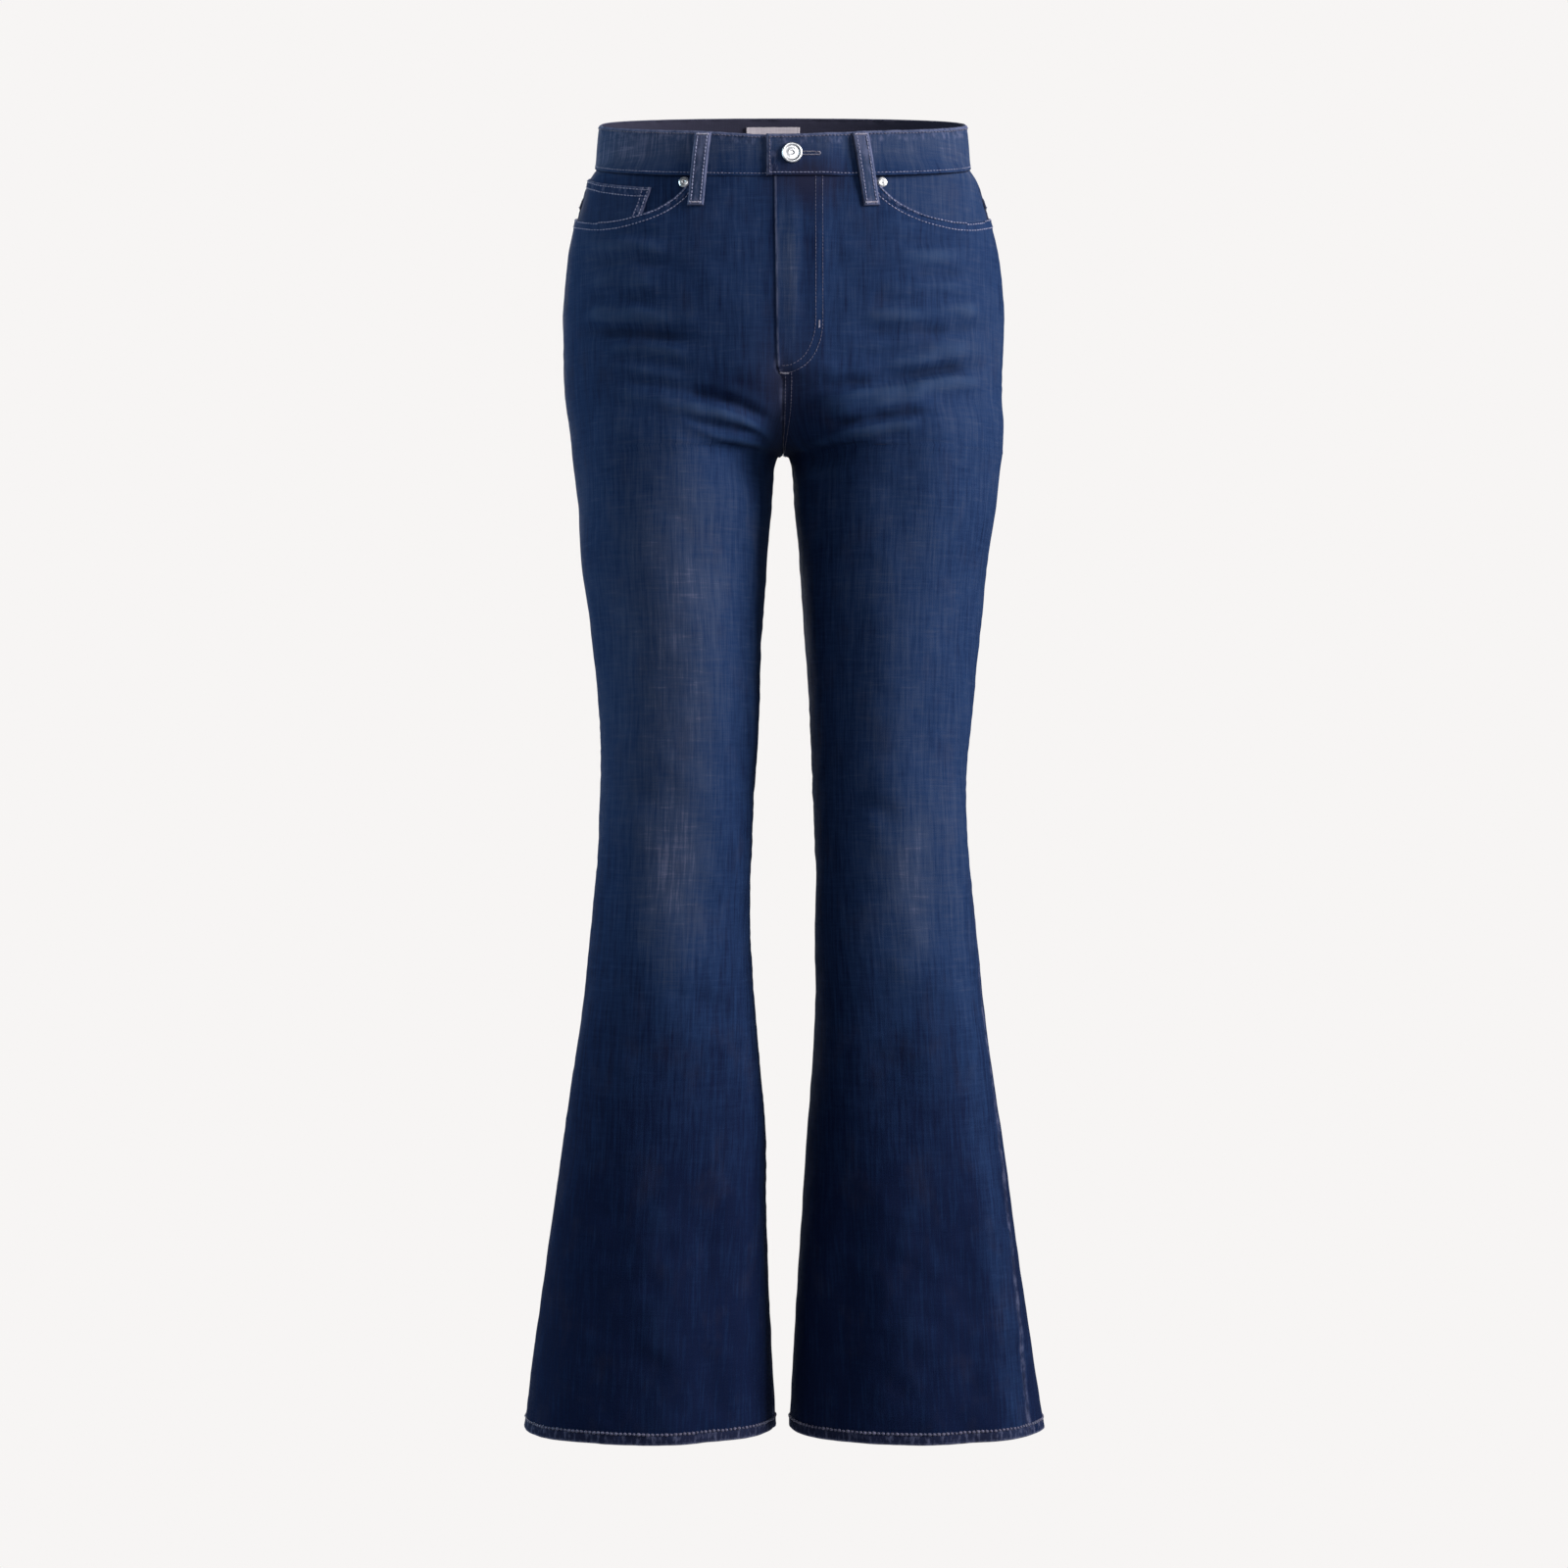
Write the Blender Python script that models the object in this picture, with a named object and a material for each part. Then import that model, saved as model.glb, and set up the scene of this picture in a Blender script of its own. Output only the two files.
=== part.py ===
"""High-rise flared five-pocket jeans, filled out as if worn, with nobody inside.

Metres, +Z up. The front faces -Y and the wearer's left is +X. The origin is the middle of the
waist opening, halfway up the waistband at the side seams, where a wearer holds the jeans up.
Every cloth piece is a thin wall laid on one garment form: a closed section at each height,
which is one ring above the crotch and a ring for each leg below it. On that form a place is
given by its side, its height z, and the distance d round the section from the centre front
(above the crotch) or from the inseam (below it).
"""

import math
from collections import namedtuple

import bmesh
import bpy
import numpy as np
from mathutils import Matrix, Vector

LEFT, RIGHT = 1, -1  # the wearer's sides, as signs of x
SIDES = {"left": LEFT, "right": RIGHT}

# ---- driving dimensions -------------------------------------------------------------------

CLOTH = 0.0012  # one layer of denim
SEAM_GAP = 0.0003  # between pieces that are sewn edge to edge or face to face
HALF_GAP = SEAM_GAP / 2

HEM_Z = -1.084
CROTCH_Z = -0.260
CROTCH_Y = 0.006
INSEAM_FILL_Z = -0.320  # below this the inner thigh is fully round
CROTCH_RIDGE = 0.8  # how round the section is at the crotch, 1 being an ellipse

BAND_HEIGHT = 0.036
BAND_DIP, BAND_DIP_WIDTH = 0.0028, 0.080  # its top edge is this much lower at the centre front
BAND_CLOTH = 0.0024  # two layers
BAND_PROUD = 0.0008  # the band's face stands this far out of the panels below it
BAND_TOP_Z = 0.018  # at the side seams
BAND_TILT = 0.287  # the waist lies in a plane that drops this much per metre forwards

# The form's sections. side_x and inseam_x are the outermost and innermost points of a leg,
# front_y and back_y its foremost and rearmost lines, side_y and inseam_y where the seams run.
Section = namedtuple("Section", "z side_x inseam_x front_y back_y side_y inseam_y full")
SECTIONS = [
    #       z     side_x inseam_x front_y back_y side_y inseam_y full
    Section(0.045, 0.1535, 0.0, -0.0700, 0.0700, 0.000, 0.006, 2.15),
    Section(0.020, 0.1545, 0.0, -0.0712, 0.0745, 0.000, 0.006, 2.15),
    Section(0.000, 0.1560, 0.0, -0.0726, 0.0795, 0.000, 0.006, 2.15),
    Section(-0.018, 0.1578, 0.0, -0.0738, 0.0865, 0.000, 0.006, 2.15),
    Section(-0.030, 0.1648, 0.0, -0.0745, 0.0915, 0.000, 0.006, 2.15),
    Section(-0.042, 0.1690, 0.0, -0.0764, 0.0952, 0.000, 0.006, 2.15),
    Section(-0.060, 0.1740, 0.0, -0.0800, 0.1000, 0.000, 0.006, 2.2),
    Section(-0.100, 0.1820, 0.0, -0.0885, 0.1095, 0.000, 0.006, 2.25),
    Section(-0.150, 0.1862, 0.0, -0.0940, 0.1175, 0.000, 0.006, 2.25),
    Section(-0.190, 0.1856, 0.0, -0.0940, 0.1185, 0.000, 0.006, 2.2),
    Section(-0.225, 0.1845, 0.0, -0.0925, 0.1145, 0.000, 0.006, 2.15),
    Section(-0.260, 0.1822, 0.0, -0.0900, 0.1070, 0.001, 0.006, 2.1),
    Section(-0.262, 0.1820, 0.0035, -0.0898, 0.1065, 0.001, 0.006, 2.1),
    Section(-0.270, 0.1808, 0.0062, -0.0890, 0.1045, 0.001, 0.006, 2.1),
    Section(-0.305, 0.1767, 0.0090, -0.0860, 0.0970, 0.001, 0.005, 2.1),
    Section(-0.340, 0.1728, 0.0126, -0.0828, 0.0905, 0.001, 0.004, 2.1),
    Section(-0.405, 0.1648, 0.0166, -0.0765, 0.0810, 0.001, 0.002, 2.05),
    Section(-0.470, 0.1588, 0.0202, -0.0695, 0.0725, 0.000, 0.001, 2.05),
    Section(-0.530, 0.1556, 0.0238, -0.0630, 0.0650, 0.000, 0.000, 2.05),
    Section(-0.590, 0.1570, 0.0252, -0.0600, 0.0615, 0.000, 0.000, 2.05),
    Section(-0.640, 0.1605, 0.0268, -0.0592, 0.0612, 0.000, 0.000, 2.0),
    Section(-0.705, 0.1678, 0.0260, -0.0600, 0.0628, 0.000, 0.000, 2.0),
    Section(-0.770, 0.1768, 0.0226, -0.0618, 0.0652, 0.001, 0.001, 2.0),
    Section(-0.840, 0.1862, 0.0174, -0.0640, 0.0682, 0.001, 0.001, 2.0),
    Section(-0.920, 0.1972, 0.0138, -0.0665, 0.0715, 0.002, 0.002, 2.0),
    Section(-1.000, 0.2092, 0.0096, -0.0688, 0.0745, 0.002, 0.002, 2.0),
    Section(-1.084, 0.2194, 0.0060, -0.0705, 0.0770, 0.003, 0.003, 2.0),
]

# Between its start and the crotch, each centre line swings in under the body.
Rise = namedtuple("Rise", "start_z roundness")
FRONT_RISE = Rise(-0.180, 2.2)
BACK_RISE = Rise(-0.175, 2.2)

# The lower legs hang turned a little, the left one so far that its side seam shows in front.
TWIST_START_Z = -0.460
TWIST_AT_HEM = {LEFT: 0.038, RIGHT: -0.006}
TWIST_GATHERS = 1.2  # over 1, most of it comes low down

# The widest drag lines from the crotch to the hips, as troughs between two points of the
# front. The wearer's left is +x.
Fold = namedtuple("Fold", "from_x from_z to_x to_z depth half_width")
FOLDS = [
    Fold(0.012, -0.222, 0.160, -0.186, 0.0032, 0.0150),
    Fold(-0.014, -0.229, -0.125, -0.199, 0.0032, 0.0150),
]
FOLDS_BETWEEN_Z = (-0.300, -0.160)
# Shares of a fold's length between which it deepens from nothing, and dies away again.
FOLD_DEEPENS, FOLD_DIES = (-0.10, 0.15), (1.10, 0.50)

# Fly: the left front laps over the right one, with the zip and its shield behind.
FLY_END_Z = -0.199
FLY_JOINED_Z = -0.209  # from here down the two fronts meet edge to edge
FLY_LAP = 0.0070  # past the centre at the waist, narrowing to FLY_LAP_END
FLY_LAP_END = 0.0045
FLY_RAISE = CLOTH + SEAM_GAP
FLY_FULL, FLY_FADE = 0.026, 0.046  # the lap is raised to the first and lies flat past the second
RIGHT_EDGE = 0.0020  # the right front stops here, under the lap
ZIP_EDGES = (0.0026, 0.0220)
ZIP_END_Z = -0.176
ZIP_FACE, ZIP_CLOTH = -0.0002, 0.0010
SHIELD_EDGES = (-0.0140, 0.0360)
SHIELD_END_Z = -0.188
SHIELD_FACE = -0.0019
AT_FLY_END = 0.001  # rows this near the fly's end count as on it

BAND_OVERLAP = 0.0130  # the left end passes the centre by this much
BAND_UNDERLAP = 0.0300  # and the right end runs on under it
BAND_RAISE = BAND_CLOTH + SEAM_GAP
BAND_FULL, BAND_FADE = 0.034, 0.052
# Where the band has points: distances from the centre front, then shares of the front half
BAND_LAP_PLACES = (-BAND_OVERLAP, 0.010, 0.024, BAND_FULL, 0.043, BAND_FADE)
BAND_UNDER_PLACES = (0.064, 0.048, 0.032, 0.016, 0.0, -0.015, -BAND_UNDERLAP)
BAND_FLANK_SHARES = (0.50, 0.64, 0.76, 0.87, 1.0)
BAND_REAR_STEPS = 8

# Front pockets
MOUTH_START = 0.0880  # from the centre front, at the waist seam
MOUTH_DEPTH = 0.0485  # below the waist seam, at the side seam
MOUTH_SQUARE = 2.3
FACING_START = MOUTH_START - 0.016
FACING_DEPTH = 0.075
FACING_SUNK = 0.0035  # its face, where the front panel and the coin pocket lie on it
FACING_SHOWN = 0.0010  # and at the side of the waist, where it shows
FACING_SINKS = 0.8  # share of the way to the mouth's line at which it is fully sunk
COIN_TOP = 0.0105  # below the waist seam
COIN_DEPTH = 0.057
COIN_EDGE_TOP, COIN_EDGE_BOTTOM = 0.1120, 0.1300  # from the centre front
COIN_CLOTH, COIN_CLEAR = 0.0010, 0.0005
COIN_SHORT = 0.0010  # of the side seam
TUCKED = 0.0008  # how far below the waist seam the hidden pocket pieces start
BAG_START, BAG_DEPTH = 0.048, 0.165
BAG_CLOTH = 0.0014
BAG_SHORT = 0.006  # of the side seam
BAG_ROUNDED = 0.16  # share of its depth that its foot's corners lose
BAG_SUNK = FACING_SUNK + CLOTH + 0.0008

# Back
YOKE_AT_SIDE, YOKE_AT_CENTRE = 0.040, 0.076  # below the waist seam
POCKET_BELOW_YOKE = 0.024
POCKET_CENTRE = 0.094  # from the centre back
POCKET_HALF_TOP, POCKET_HALF_BOTTOM = 0.066, 0.060
POCKET_SIDE, POCKET_POINT = 0.130, 0.147  # depth at its edges and at its point
POCKET_CLEAR = 0.00095

# Belt loops: distance of the loop's middle from the centre front or back
Loop = namedtuple("Loop", "name side from_back top bottom")
LOOPS = [
    Loop("belt_loop_front_right", RIGHT, False, 0.0655, 0.0720),
    Loop("belt_loop_front_left", LEFT, False, 0.0635, 0.0730),
    Loop("belt_loop_back_right", RIGHT, True, 0.1180, 0.1180),
    Loop("belt_loop_back_left", LEFT, True, 0.1180, 0.1180),
    Loop("belt_loop_centre_back", LEFT, True, 0.0, 0.0),
]
LOOP_WIDTH, LOOP_CLOTH = 0.0125, 0.0016
# A loop's inner face: its height above the waist seam, and how far it stands off the panels.
Bend = namedtuple("Bend", "height stands_off")
LOOP_BENDS = [
    Bend(-0.0240, 0.0006),
    Bend(-0.0170, 0.0007),
    Bend(-0.0070, 0.0017),
    Bend(0.0030, 0.0026),
    Bend(0.0180, 0.0031),
    Bend(0.0300, 0.0024),
    Bend(0.0345, 0.0011),
]

BUTTON_X, BUTTON_HEIGHT = 0.0072, 0.0180  # from the centre, and above the waist seam
BUTTON_RADIUS, SHANK_RADIUS = 0.0085, 0.0021
HOLE_RADIUS, SLIT_WIDTH, SLIT_END = 0.0025, 0.0012, 0.0300
RIVET_X, RIVET_DROP, RIVET_RADIUS = 0.0820, 0.0060, 0.0043
RIVET_CLEAR = 0.0005
BUTTON_STEPS, RIVET_STEPS = 32, 20
# Their outlines, from underneath round the rim and inwards over the top
Ring = namedtuple("Ring", "radius height")
BUTTON_HEAD = [
    Ring(0.0077, 0.0),
    Ring(BUTTON_RADIUS, 0.0007),
    Ring(BUTTON_RADIUS, 0.0017),
    Ring(0.0077, 0.0024),
    Ring(0.0065, 0.0023),
    Ring(0.0055, 0.0016),
    Ring(0.0022, 0.0018),
    Ring(0.0012, 0.0013),
    Ring(0.0, 0.0013),
]
RIVET_HEAD = [
    Ring(0.0, 0.0),
    Ring(RIVET_RADIUS, 0.0),
    Ring(RIVET_RADIUS, 0.0006),
    Ring(0.0034, 0.0013),
    Ring(0.0016, 0.0016),
    Ring(0.0012, 0.0012),
    Ring(0.0, 0.0012),
]
EYE_OPENS, EYE_POINTS = math.radians(14), 15  # half the buttonhole eye's angle into its slit
CUT_PAST = 0.002  # how far the buttonhole's cut runs on past the cloth

LABEL_CENTRE, LABEL_WIDTH = -0.0090, 0.0460
LABEL_DROP, LABEL_HEIGHT = 0.0070, 0.0240
LABEL_CLOTH, LABEL_CLEAR = 0.0010, 0.0005

# ---- where the pieces' points lie ----------------------------------------------------------

# Heights below the crotch where the leg panels have a row, at the inseam and the side seam.
LegRow = namedtuple("LegRow", "inseam_z side_z")
LEG_ROWS = [
    LegRow(-0.2625, -0.2760),
    LegRow(-0.2710, -0.2930),
    LegRow(-0.2950, -0.3180),
    LegRow(-0.3450, -0.3600),
    LegRow(-0.4150, -0.4200),
    LegRow(-0.4900, -0.4900),
    LegRow(-0.5600, -0.5600),
    LegRow(-0.6300, -0.6300),
    LegRow(-0.7100, -0.7100),
    LegRow(-0.8000, -0.8000),
    LegRow(-0.8950, -0.8950),
    LegRow(-0.9900, -0.9900),
    LegRow(HEM_Z, HEM_Z),
]
SIDE_AT_CROTCH_Z = -0.260  # where the row through the crotch reaches the side seam
MOUTH_ROWS = 7
MOUTH_BUNCHED = 1.3
MOUTH_ROWS_END_Z = -0.152
FLY_ROWS_Z = (-0.176, FLY_END_Z, FLY_JOINED_Z)
FRONT_RISE_ROWS = 6
BACK_ROWS = 12
PANEL_COLUMNS = 12
BUNCHED = 1.35  # the hips curve most near the side seams
BUNCHED_FROM_ROW = 4  # below the mouth's first rows

# Rows and columns of points in each of the smaller pieces
Grid = namedtuple("Grid", "rows columns")
YOKE_GRID = Grid(4, 11)
FACING_GRID = Grid(9, 9)
COIN_GRID = Grid(8, 7)
BAG_GRID = Grid(8, 7)
FLY_GRID = Grid(7, 5)
BACK_POCKET_GRID = Grid(9, 11)
LABEL_GRID = Grid(3, 5)

# ---- materials ----------------------------------------------------------------------------

Finish = namedtuple("Finish", "colour roughness metallic")
FINISHES = {
    "denim": Finish((0.022, 0.034, 0.085), 0.85, 0.0),
    "denim_trim": Finish((0.035, 0.050, 0.105), 0.85, 0.0),
    "pocketing": Finish((0.62, 0.60, 0.54), 0.9, 0.0),
    "zip": Finish((0.04, 0.05, 0.09), 0.6, 0.0),
    "label": Finish((0.55, 0.50, 0.54), 0.6, 0.0),
    "nickel": Finish((0.78, 0.78, 0.80), 0.25, 1.0),
}


def material(name):
    """The Principled BSDF material of that finish, made once."""
    made = bpy.data.materials.get(name)
    if made:
        return made
    made = bpy.data.materials.new(name)
    made.use_nodes = True
    shader = made.node_tree.nodes["Principled BSDF"]
    shader.inputs["Base Color"].default_value = (*FINISHES[name].colour, 1.0)
    shader.inputs["Roughness"].default_value = FINISHES[name].roughness
    shader.inputs["Metallic"].default_value = FINISHES[name].metallic
    return made


# ---- the garment form ---------------------------------------------------------------------

ARC_POINTS = 40
MOUTH_SAMPLES, RISE_SAMPLES = 200, 400  # along the mouth and the centre seams, to space points evenly
QUARTER = np.linspace(0.0, math.pi / 2, ARC_POINTS)
PROBE = 0.0004  # step used to find the form's normal
ON_CENTRE = 0.0003  # places this near a centre line take its straight-across direction
CROTCH_CORNER = 0.002  # and this near it, at the crotch, they face straight down
SAME_PLACE = 1e-6
SETTLING = 8  # rounds in which a height that depends on its own place comes to rest
SHARP_ANGLE = math.radians(40)


def smooth(t):
    t = np.clip(t, 0.0, 1.0)
    return t * t * (3.0 - 2.0 * t)


def slopes_through(x, y):
    """Slopes of a curve through the points that never overshoots them."""
    step = np.diff(y) / np.diff(x)
    inner = np.where(
        step[:-1] * step[1:] > 0,
        2 * step[:-1] * step[1:] / np.where(step[:-1] + step[1:] == 0, 1, step[:-1] + step[1:]),
        0.0,
    )
    return np.concatenate([step[:1], inner, step[-1:]])


TABLE = np.array(SECTIONS[::-1], float)
HEIGHTS = TABLE[:, 0]
SLOPES = np.array([slopes_through(HEIGHTS, column) for column in TABLE.T]).T


def section_values(z):
    """The table's columns at height z, read off smooth curves through its rows."""
    i = int(np.clip(np.searchsorted(HEIGHTS, z) - 1, 0, len(HEIGHTS) - 2))
    span = HEIGHTS[i + 1] - HEIGHTS[i]
    t = (z - HEIGHTS[i]) / span
    near, far = 2 * t**3 - 3 * t**2 + 1, 3 * t**2 - 2 * t**3
    start, end = t**3 - 2 * t**2 + t, t**3 - t**2
    row = near * TABLE[i] + far * TABLE[i + 1] + span * (start * SLOPES[i] + end * SLOPES[i + 1])
    return Section(*row)


def centre_line_y(z, rise, outer_y):
    """Where the centre front or back seam runs at height z, as it swings in to the crotch."""
    if z >= rise.start_z:
        return outer_y
    drop = min(1.0, (rise.start_z - z) / (rise.start_z - CROTCH_Z))
    return CROTCH_Y + (outer_y - CROTCH_Y) * (1.0 - drop**rise.roundness) ** (1.0 / rise.roundness)


def valley(start, apex, ridge):
    """From the centre line or inseam out to a leg's foremost or rearmost line."""
    across = ridge * (1 - np.cos(QUARTER)) + (1 - ridge) * QUARTER * 2 / math.pi
    out = ridge * np.sin(QUARTER) + (1 - ridge) * (1 - np.cos(2 * QUARTER)) / 2
    return np.stack([start[0] + (apex[0] - start[0]) * across, start[1] + (apex[1] - start[1]) * out], 1)


def flank(apex, side, full):
    """From a leg's foremost or rearmost line round to its side seam."""
    across = np.sin(QUARTER) ** (2 / full)
    back = np.cos(QUARTER) ** (2 / full)
    return np.stack([apex[0] + (side[0] - apex[0]) * across, side[1] + (apex[1] - side[1]) * back], 1)


_outlines = {}


def outline(z):
    """Half of the form's section at height z, as points, distances along it, and the distance
    of the side seam: from centre front to centre back, or round a leg from its inseam."""
    key = round(z, 7)
    if key in _outlines:
        return _outlines[key]
    at = section_values(z)
    side = (at.side_x, at.side_y)
    if z >= CROTCH_Z:
        fronts = (0.0, centre_line_y(z, FRONT_RISE, at.front_y))
        backs = (0.0, centre_line_y(z, BACK_RISE, at.back_y))
        parting = [
            float(smooth((rise.start_z - z) / (rise.start_z - CROTCH_Z))) for rise in (FRONT_RISE, BACK_RISE)
        ]
        ridge = CROTCH_RIDGE * parting[0]
    else:
        fronts = backs = (at.inseam_x, at.inseam_y)
        parting = [1.0, 1.0]
        ridge = CROTCH_RIDGE + (1 - CROTCH_RIDGE) * float(
            smooth((CROTCH_Z - z) / (CROTCH_Z - INSEAM_FILL_Z))
        )
    middle = (fronts[0] + at.side_x) / 2
    front_apex = (fronts[0] + (middle - fronts[0]) * parting[0], at.front_y)
    back_apex = (fronts[0] + (middle - fronts[0]) * parting[1], at.back_y)
    front = np.vstack([valley(fronts, front_apex, ridge), flank(front_apex, side, at.full)])
    back = np.vstack([valley(backs, back_apex, ridge), flank(back_apex, side, at.full)])[::-1]
    points = np.vstack([front, back])
    along = np.concatenate([[0.0], np.cumsum(np.linalg.norm(np.diff(points, axis=0), axis=1))])
    _outlines[key] = points, along, along[len(front) - 1]
    return _outlines[key]


def front_length(z):
    return outline(z)[2]


def whole_length(z):
    return outline(z)[1][-1]


def on_form(side, z, d):
    """The form's point at height z and distance d. Above the crotch, d past either centre line
    runs on over the other half; below it, d goes round and round the leg."""
    points, along, _ = outline(z)
    whole, mirrored = along[-1], 1.0
    if z >= CROTCH_Z:
        if d < 0:
            d, mirrored = -d, -1.0
        elif d > whole:
            d, mirrored = 2 * whole - d, -1.0
    else:
        d %= whole
    x, y = (np.interp(d, along, points[:, k]) for k in (0, 1))
    return np.array([side * (mirrored * x + HALF_GAP), y, z])


def normal(side, z, d):
    """The form's outward normal."""
    if z >= CROTCH_Z:
        if z - CROTCH_Z < SAME_PLACE and min(d, whole_length(z) - d) < CROTCH_CORNER:
            return np.array([0.0, 0.0, -1.0])
        low, high = z, z + PROBE
    else:
        low, high = z - PROBE, z
    round_it = on_form(side, z, d + PROBE) - on_form(side, z, d - PROBE)
    up = on_form(side, high, d) - on_form(side, low, d)
    if z >= CROTCH_Z and min(abs(d), abs(d - whole_length(z))) < ON_CENTRE:
        round_it = np.array([side * (1.0 if abs(d) < ON_CENTRE else -1.0), 0.0, 0.0])
        up[0] = 0.0
    n = side * np.cross(round_it, up)
    return n / np.linalg.norm(n)


def fold_depth(x, z):
    """How far the drag lines sink the front at that x and z."""
    sunk = 0.0
    for fold in FOLDS:
        ax, az = fold.to_x - fold.from_x, fold.to_z - fold.from_z
        long = math.hypot(ax, az)
        t = ((x - fold.from_x) * ax + (z - fold.from_z) * az) / long**2
        away = abs((x - fold.from_x) * az - (z - fold.from_z) * ax) / long
        deep = smooth(np.interp(t, FOLD_DEEPENS, (0, 1))) * smooth(np.interp(t, FOLD_DIES[::-1], (1, 0)))
        sunk += fold.depth * math.exp(-((away / fold.half_width) ** 2)) * float(deep)
    return sunk


def cloth_point(side, z, d, out):
    """A point that lies out of the form by that much, or in it where out is negative."""
    place = on_form(side, z, d)
    if place[1] < 0 and FOLDS_BETWEEN_Z[0] < z < FOLDS_BETWEEN_Z[1]:
        out -= fold_depth(place[0], z)
    return place + normal(side, z, d) * out


def twist(side, z):
    """How far a leg's seams have turned round it at height z: forwards at the side seam."""
    turned = max(0.0, (TWIST_START_Z - z) / (TWIST_START_Z - HEM_Z))
    return TWIST_AT_HEM[side] * turned**TWIST_GATHERS


def side_seam(side, z):
    return front_length(z) - twist(side, z)


def inseam(side, z, of_back=False):
    return (whole_length(z) if of_back else 0.0) - twist(side, z)


# ---- the waist and the pocket mouth, as lines on the form ----------------------------------


def waist_z(d_of, above_seam):
    """Height of a line that runs round parallel to the waist seam, at the place d_of(z)."""
    z = BAND_TOP_Z - BAND_HEIGHT
    for _ in range(SETTLING):
        z = BAND_TOP_Z - BAND_HEIGHT + BAND_TILT * on_form(LEFT, z, d_of(z))[1] + above_seam
    return z


def from_front(d, above_seam=0.0):
    """Height of the waist seam, or of a line above it, at a distance from the centre front."""
    return waist_z(lambda z: d, above_seam)


def from_back(d, above_seam=0.0):
    return waist_z(lambda z: whole_length(z) - d, above_seam)


def round_the_waist(z, share):
    """The distance at a share of the way round: 0 centre front, 1 side seam, 2 centre back."""
    if share <= 1.0:
        return share * front_length(z)
    return front_length(z) + (share - 1.0) * (whole_length(z) - front_length(z))


SIDE_WAIST_Z = waist_z(front_length, 0.0)
MOUTH_END_Z = SIDE_WAIST_Z - MOUTH_DEPTH


def mouth_reach(d, z):
    """0 at the side of the waist, 1 on the pocket mouth's line and more past it."""
    across = (front_length(z) - d) / (front_length(MOUTH_END_Z) - MOUTH_START)
    down = (from_front(min(d, front_length(z))) - z) / MOUTH_DEPTH
    return (max(across, 0.0) ** MOUTH_SQUARE + max(down, 0.0) ** MOUTH_SQUARE) ** (1 / MOUTH_SQUARE)


MOUTH_TURNS = np.linspace(0.0, math.pi / 2, MOUTH_SAMPLES)
MOUTH_ACROSS = np.cos(MOUTH_TURNS) ** (2 / MOUTH_SQUARE)
MOUTH_DOWN = np.sin(MOUTH_TURNS) ** (2 / MOUTH_SQUARE)


def mouth_point(share, inset):
    """(d, z) on the pocket mouth, share 0 at the waist seam and 1 at the side seam. The inset
    moves it off the line, into the front panel."""
    start_across = front_length(MOUTH_END_Z) - MOUTH_START
    run = np.hypot(np.diff(MOUTH_ACROSS) * start_across, np.diff(MOUTH_DOWN) * MOUTH_DEPTH)
    run = np.concatenate([[0.0], np.cumsum(run)])
    turn = np.interp(share * run[-1], run, MOUTH_TURNS)
    across = start_across * np.interp(turn, MOUTH_TURNS, MOUTH_ACROSS)
    down = MOUTH_DEPTH * np.interp(turn, MOUTH_TURNS, MOUTH_DOWN)
    z = SIDE_WAIST_Z - down
    for _ in range(SETTLING):
        z = from_front(front_length(z) - across) - down
    return front_length(z) - across - inset * math.cos(turn), z - inset * math.sin(turn)


def yoke_point(share):
    """(d, z) on the yoke seam, share 0 at the side seam and 1 at the centre back."""
    down = YOKE_AT_SIDE + (YOKE_AT_CENTRE - YOKE_AT_SIDE) * share
    z = SIDE_WAIST_Z - down
    for _ in range(SETTLING):
        d = round_the_waist(z, 1.0 + share)
        z = from_front(d) - down
    return d, z


# ---- solids -------------------------------------------------------------------------------


def wall(name, outer, inner, finish):
    """A closed wall between two grids of points with the same rows and columns."""
    rows, columns = outer.shape[:2]
    mesh = bmesh.new()
    out = [[mesh.verts.new(p) for p in row] for row in outer]
    back = [[mesh.verts.new(p) for p in row] for row in inner]
    for r in range(rows - 1):
        for c in range(columns - 1):
            mesh.faces.new((out[r][c], out[r + 1][c], out[r + 1][c + 1], out[r][c + 1]))
            mesh.faces.new((back[r][c], back[r][c + 1], back[r + 1][c + 1], back[r + 1][c]))
    around = (
        [(0, c) for c in range(columns)]
        + [(r, columns - 1) for r in range(1, rows)]
        + [(rows - 1, c) for c in range(columns - 2, -1, -1)]
        + [(r, 0) for r in range(rows - 2, 0, -1)]
    )
    for (r1, c1), (r2, c2) in zip(around, around[1:] + around[:1]):
        mesh.faces.new((out[r1][c1], out[r2][c2], back[r2][c2], back[r1][c1]))
    bmesh.ops.triangulate(mesh, faces=mesh.faces[:], quad_method="SHORT_EDGE")
    if mesh.calc_volume(signed=True) < 0:
        bmesh.ops.reverse_faces(mesh, faces=mesh.faces[:])
    return add_object(name, mesh, finish)


def add_object(name, mesh, finish):
    data = bpy.data.meshes.new(name)
    mesh.to_mesh(data)
    mesh.free()
    made = bpy.data.objects.new(name, data)
    data.materials.append(material(finish))
    data.shade_smooth()
    data.set_sharp_from_angle(angle=SHARP_ANGLE)
    bpy.context.scene.collection.objects.link(made)
    return made


def cloth_wall(name, side, grid, out, thickness, finish):
    """A wall from a grid of (d, z) places. out is a number, or a function of d and z."""
    face = out if callable(out) else lambda d, z: out
    outer = np.array([[cloth_point(side, z, d, face(d, z)) for d, z in row] for row in grid])
    inner = np.array([[cloth_point(side, z, d, face(d, z) - thickness) for d, z in row] for row in grid])
    return wall(name, outer, inner, finish)


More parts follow.
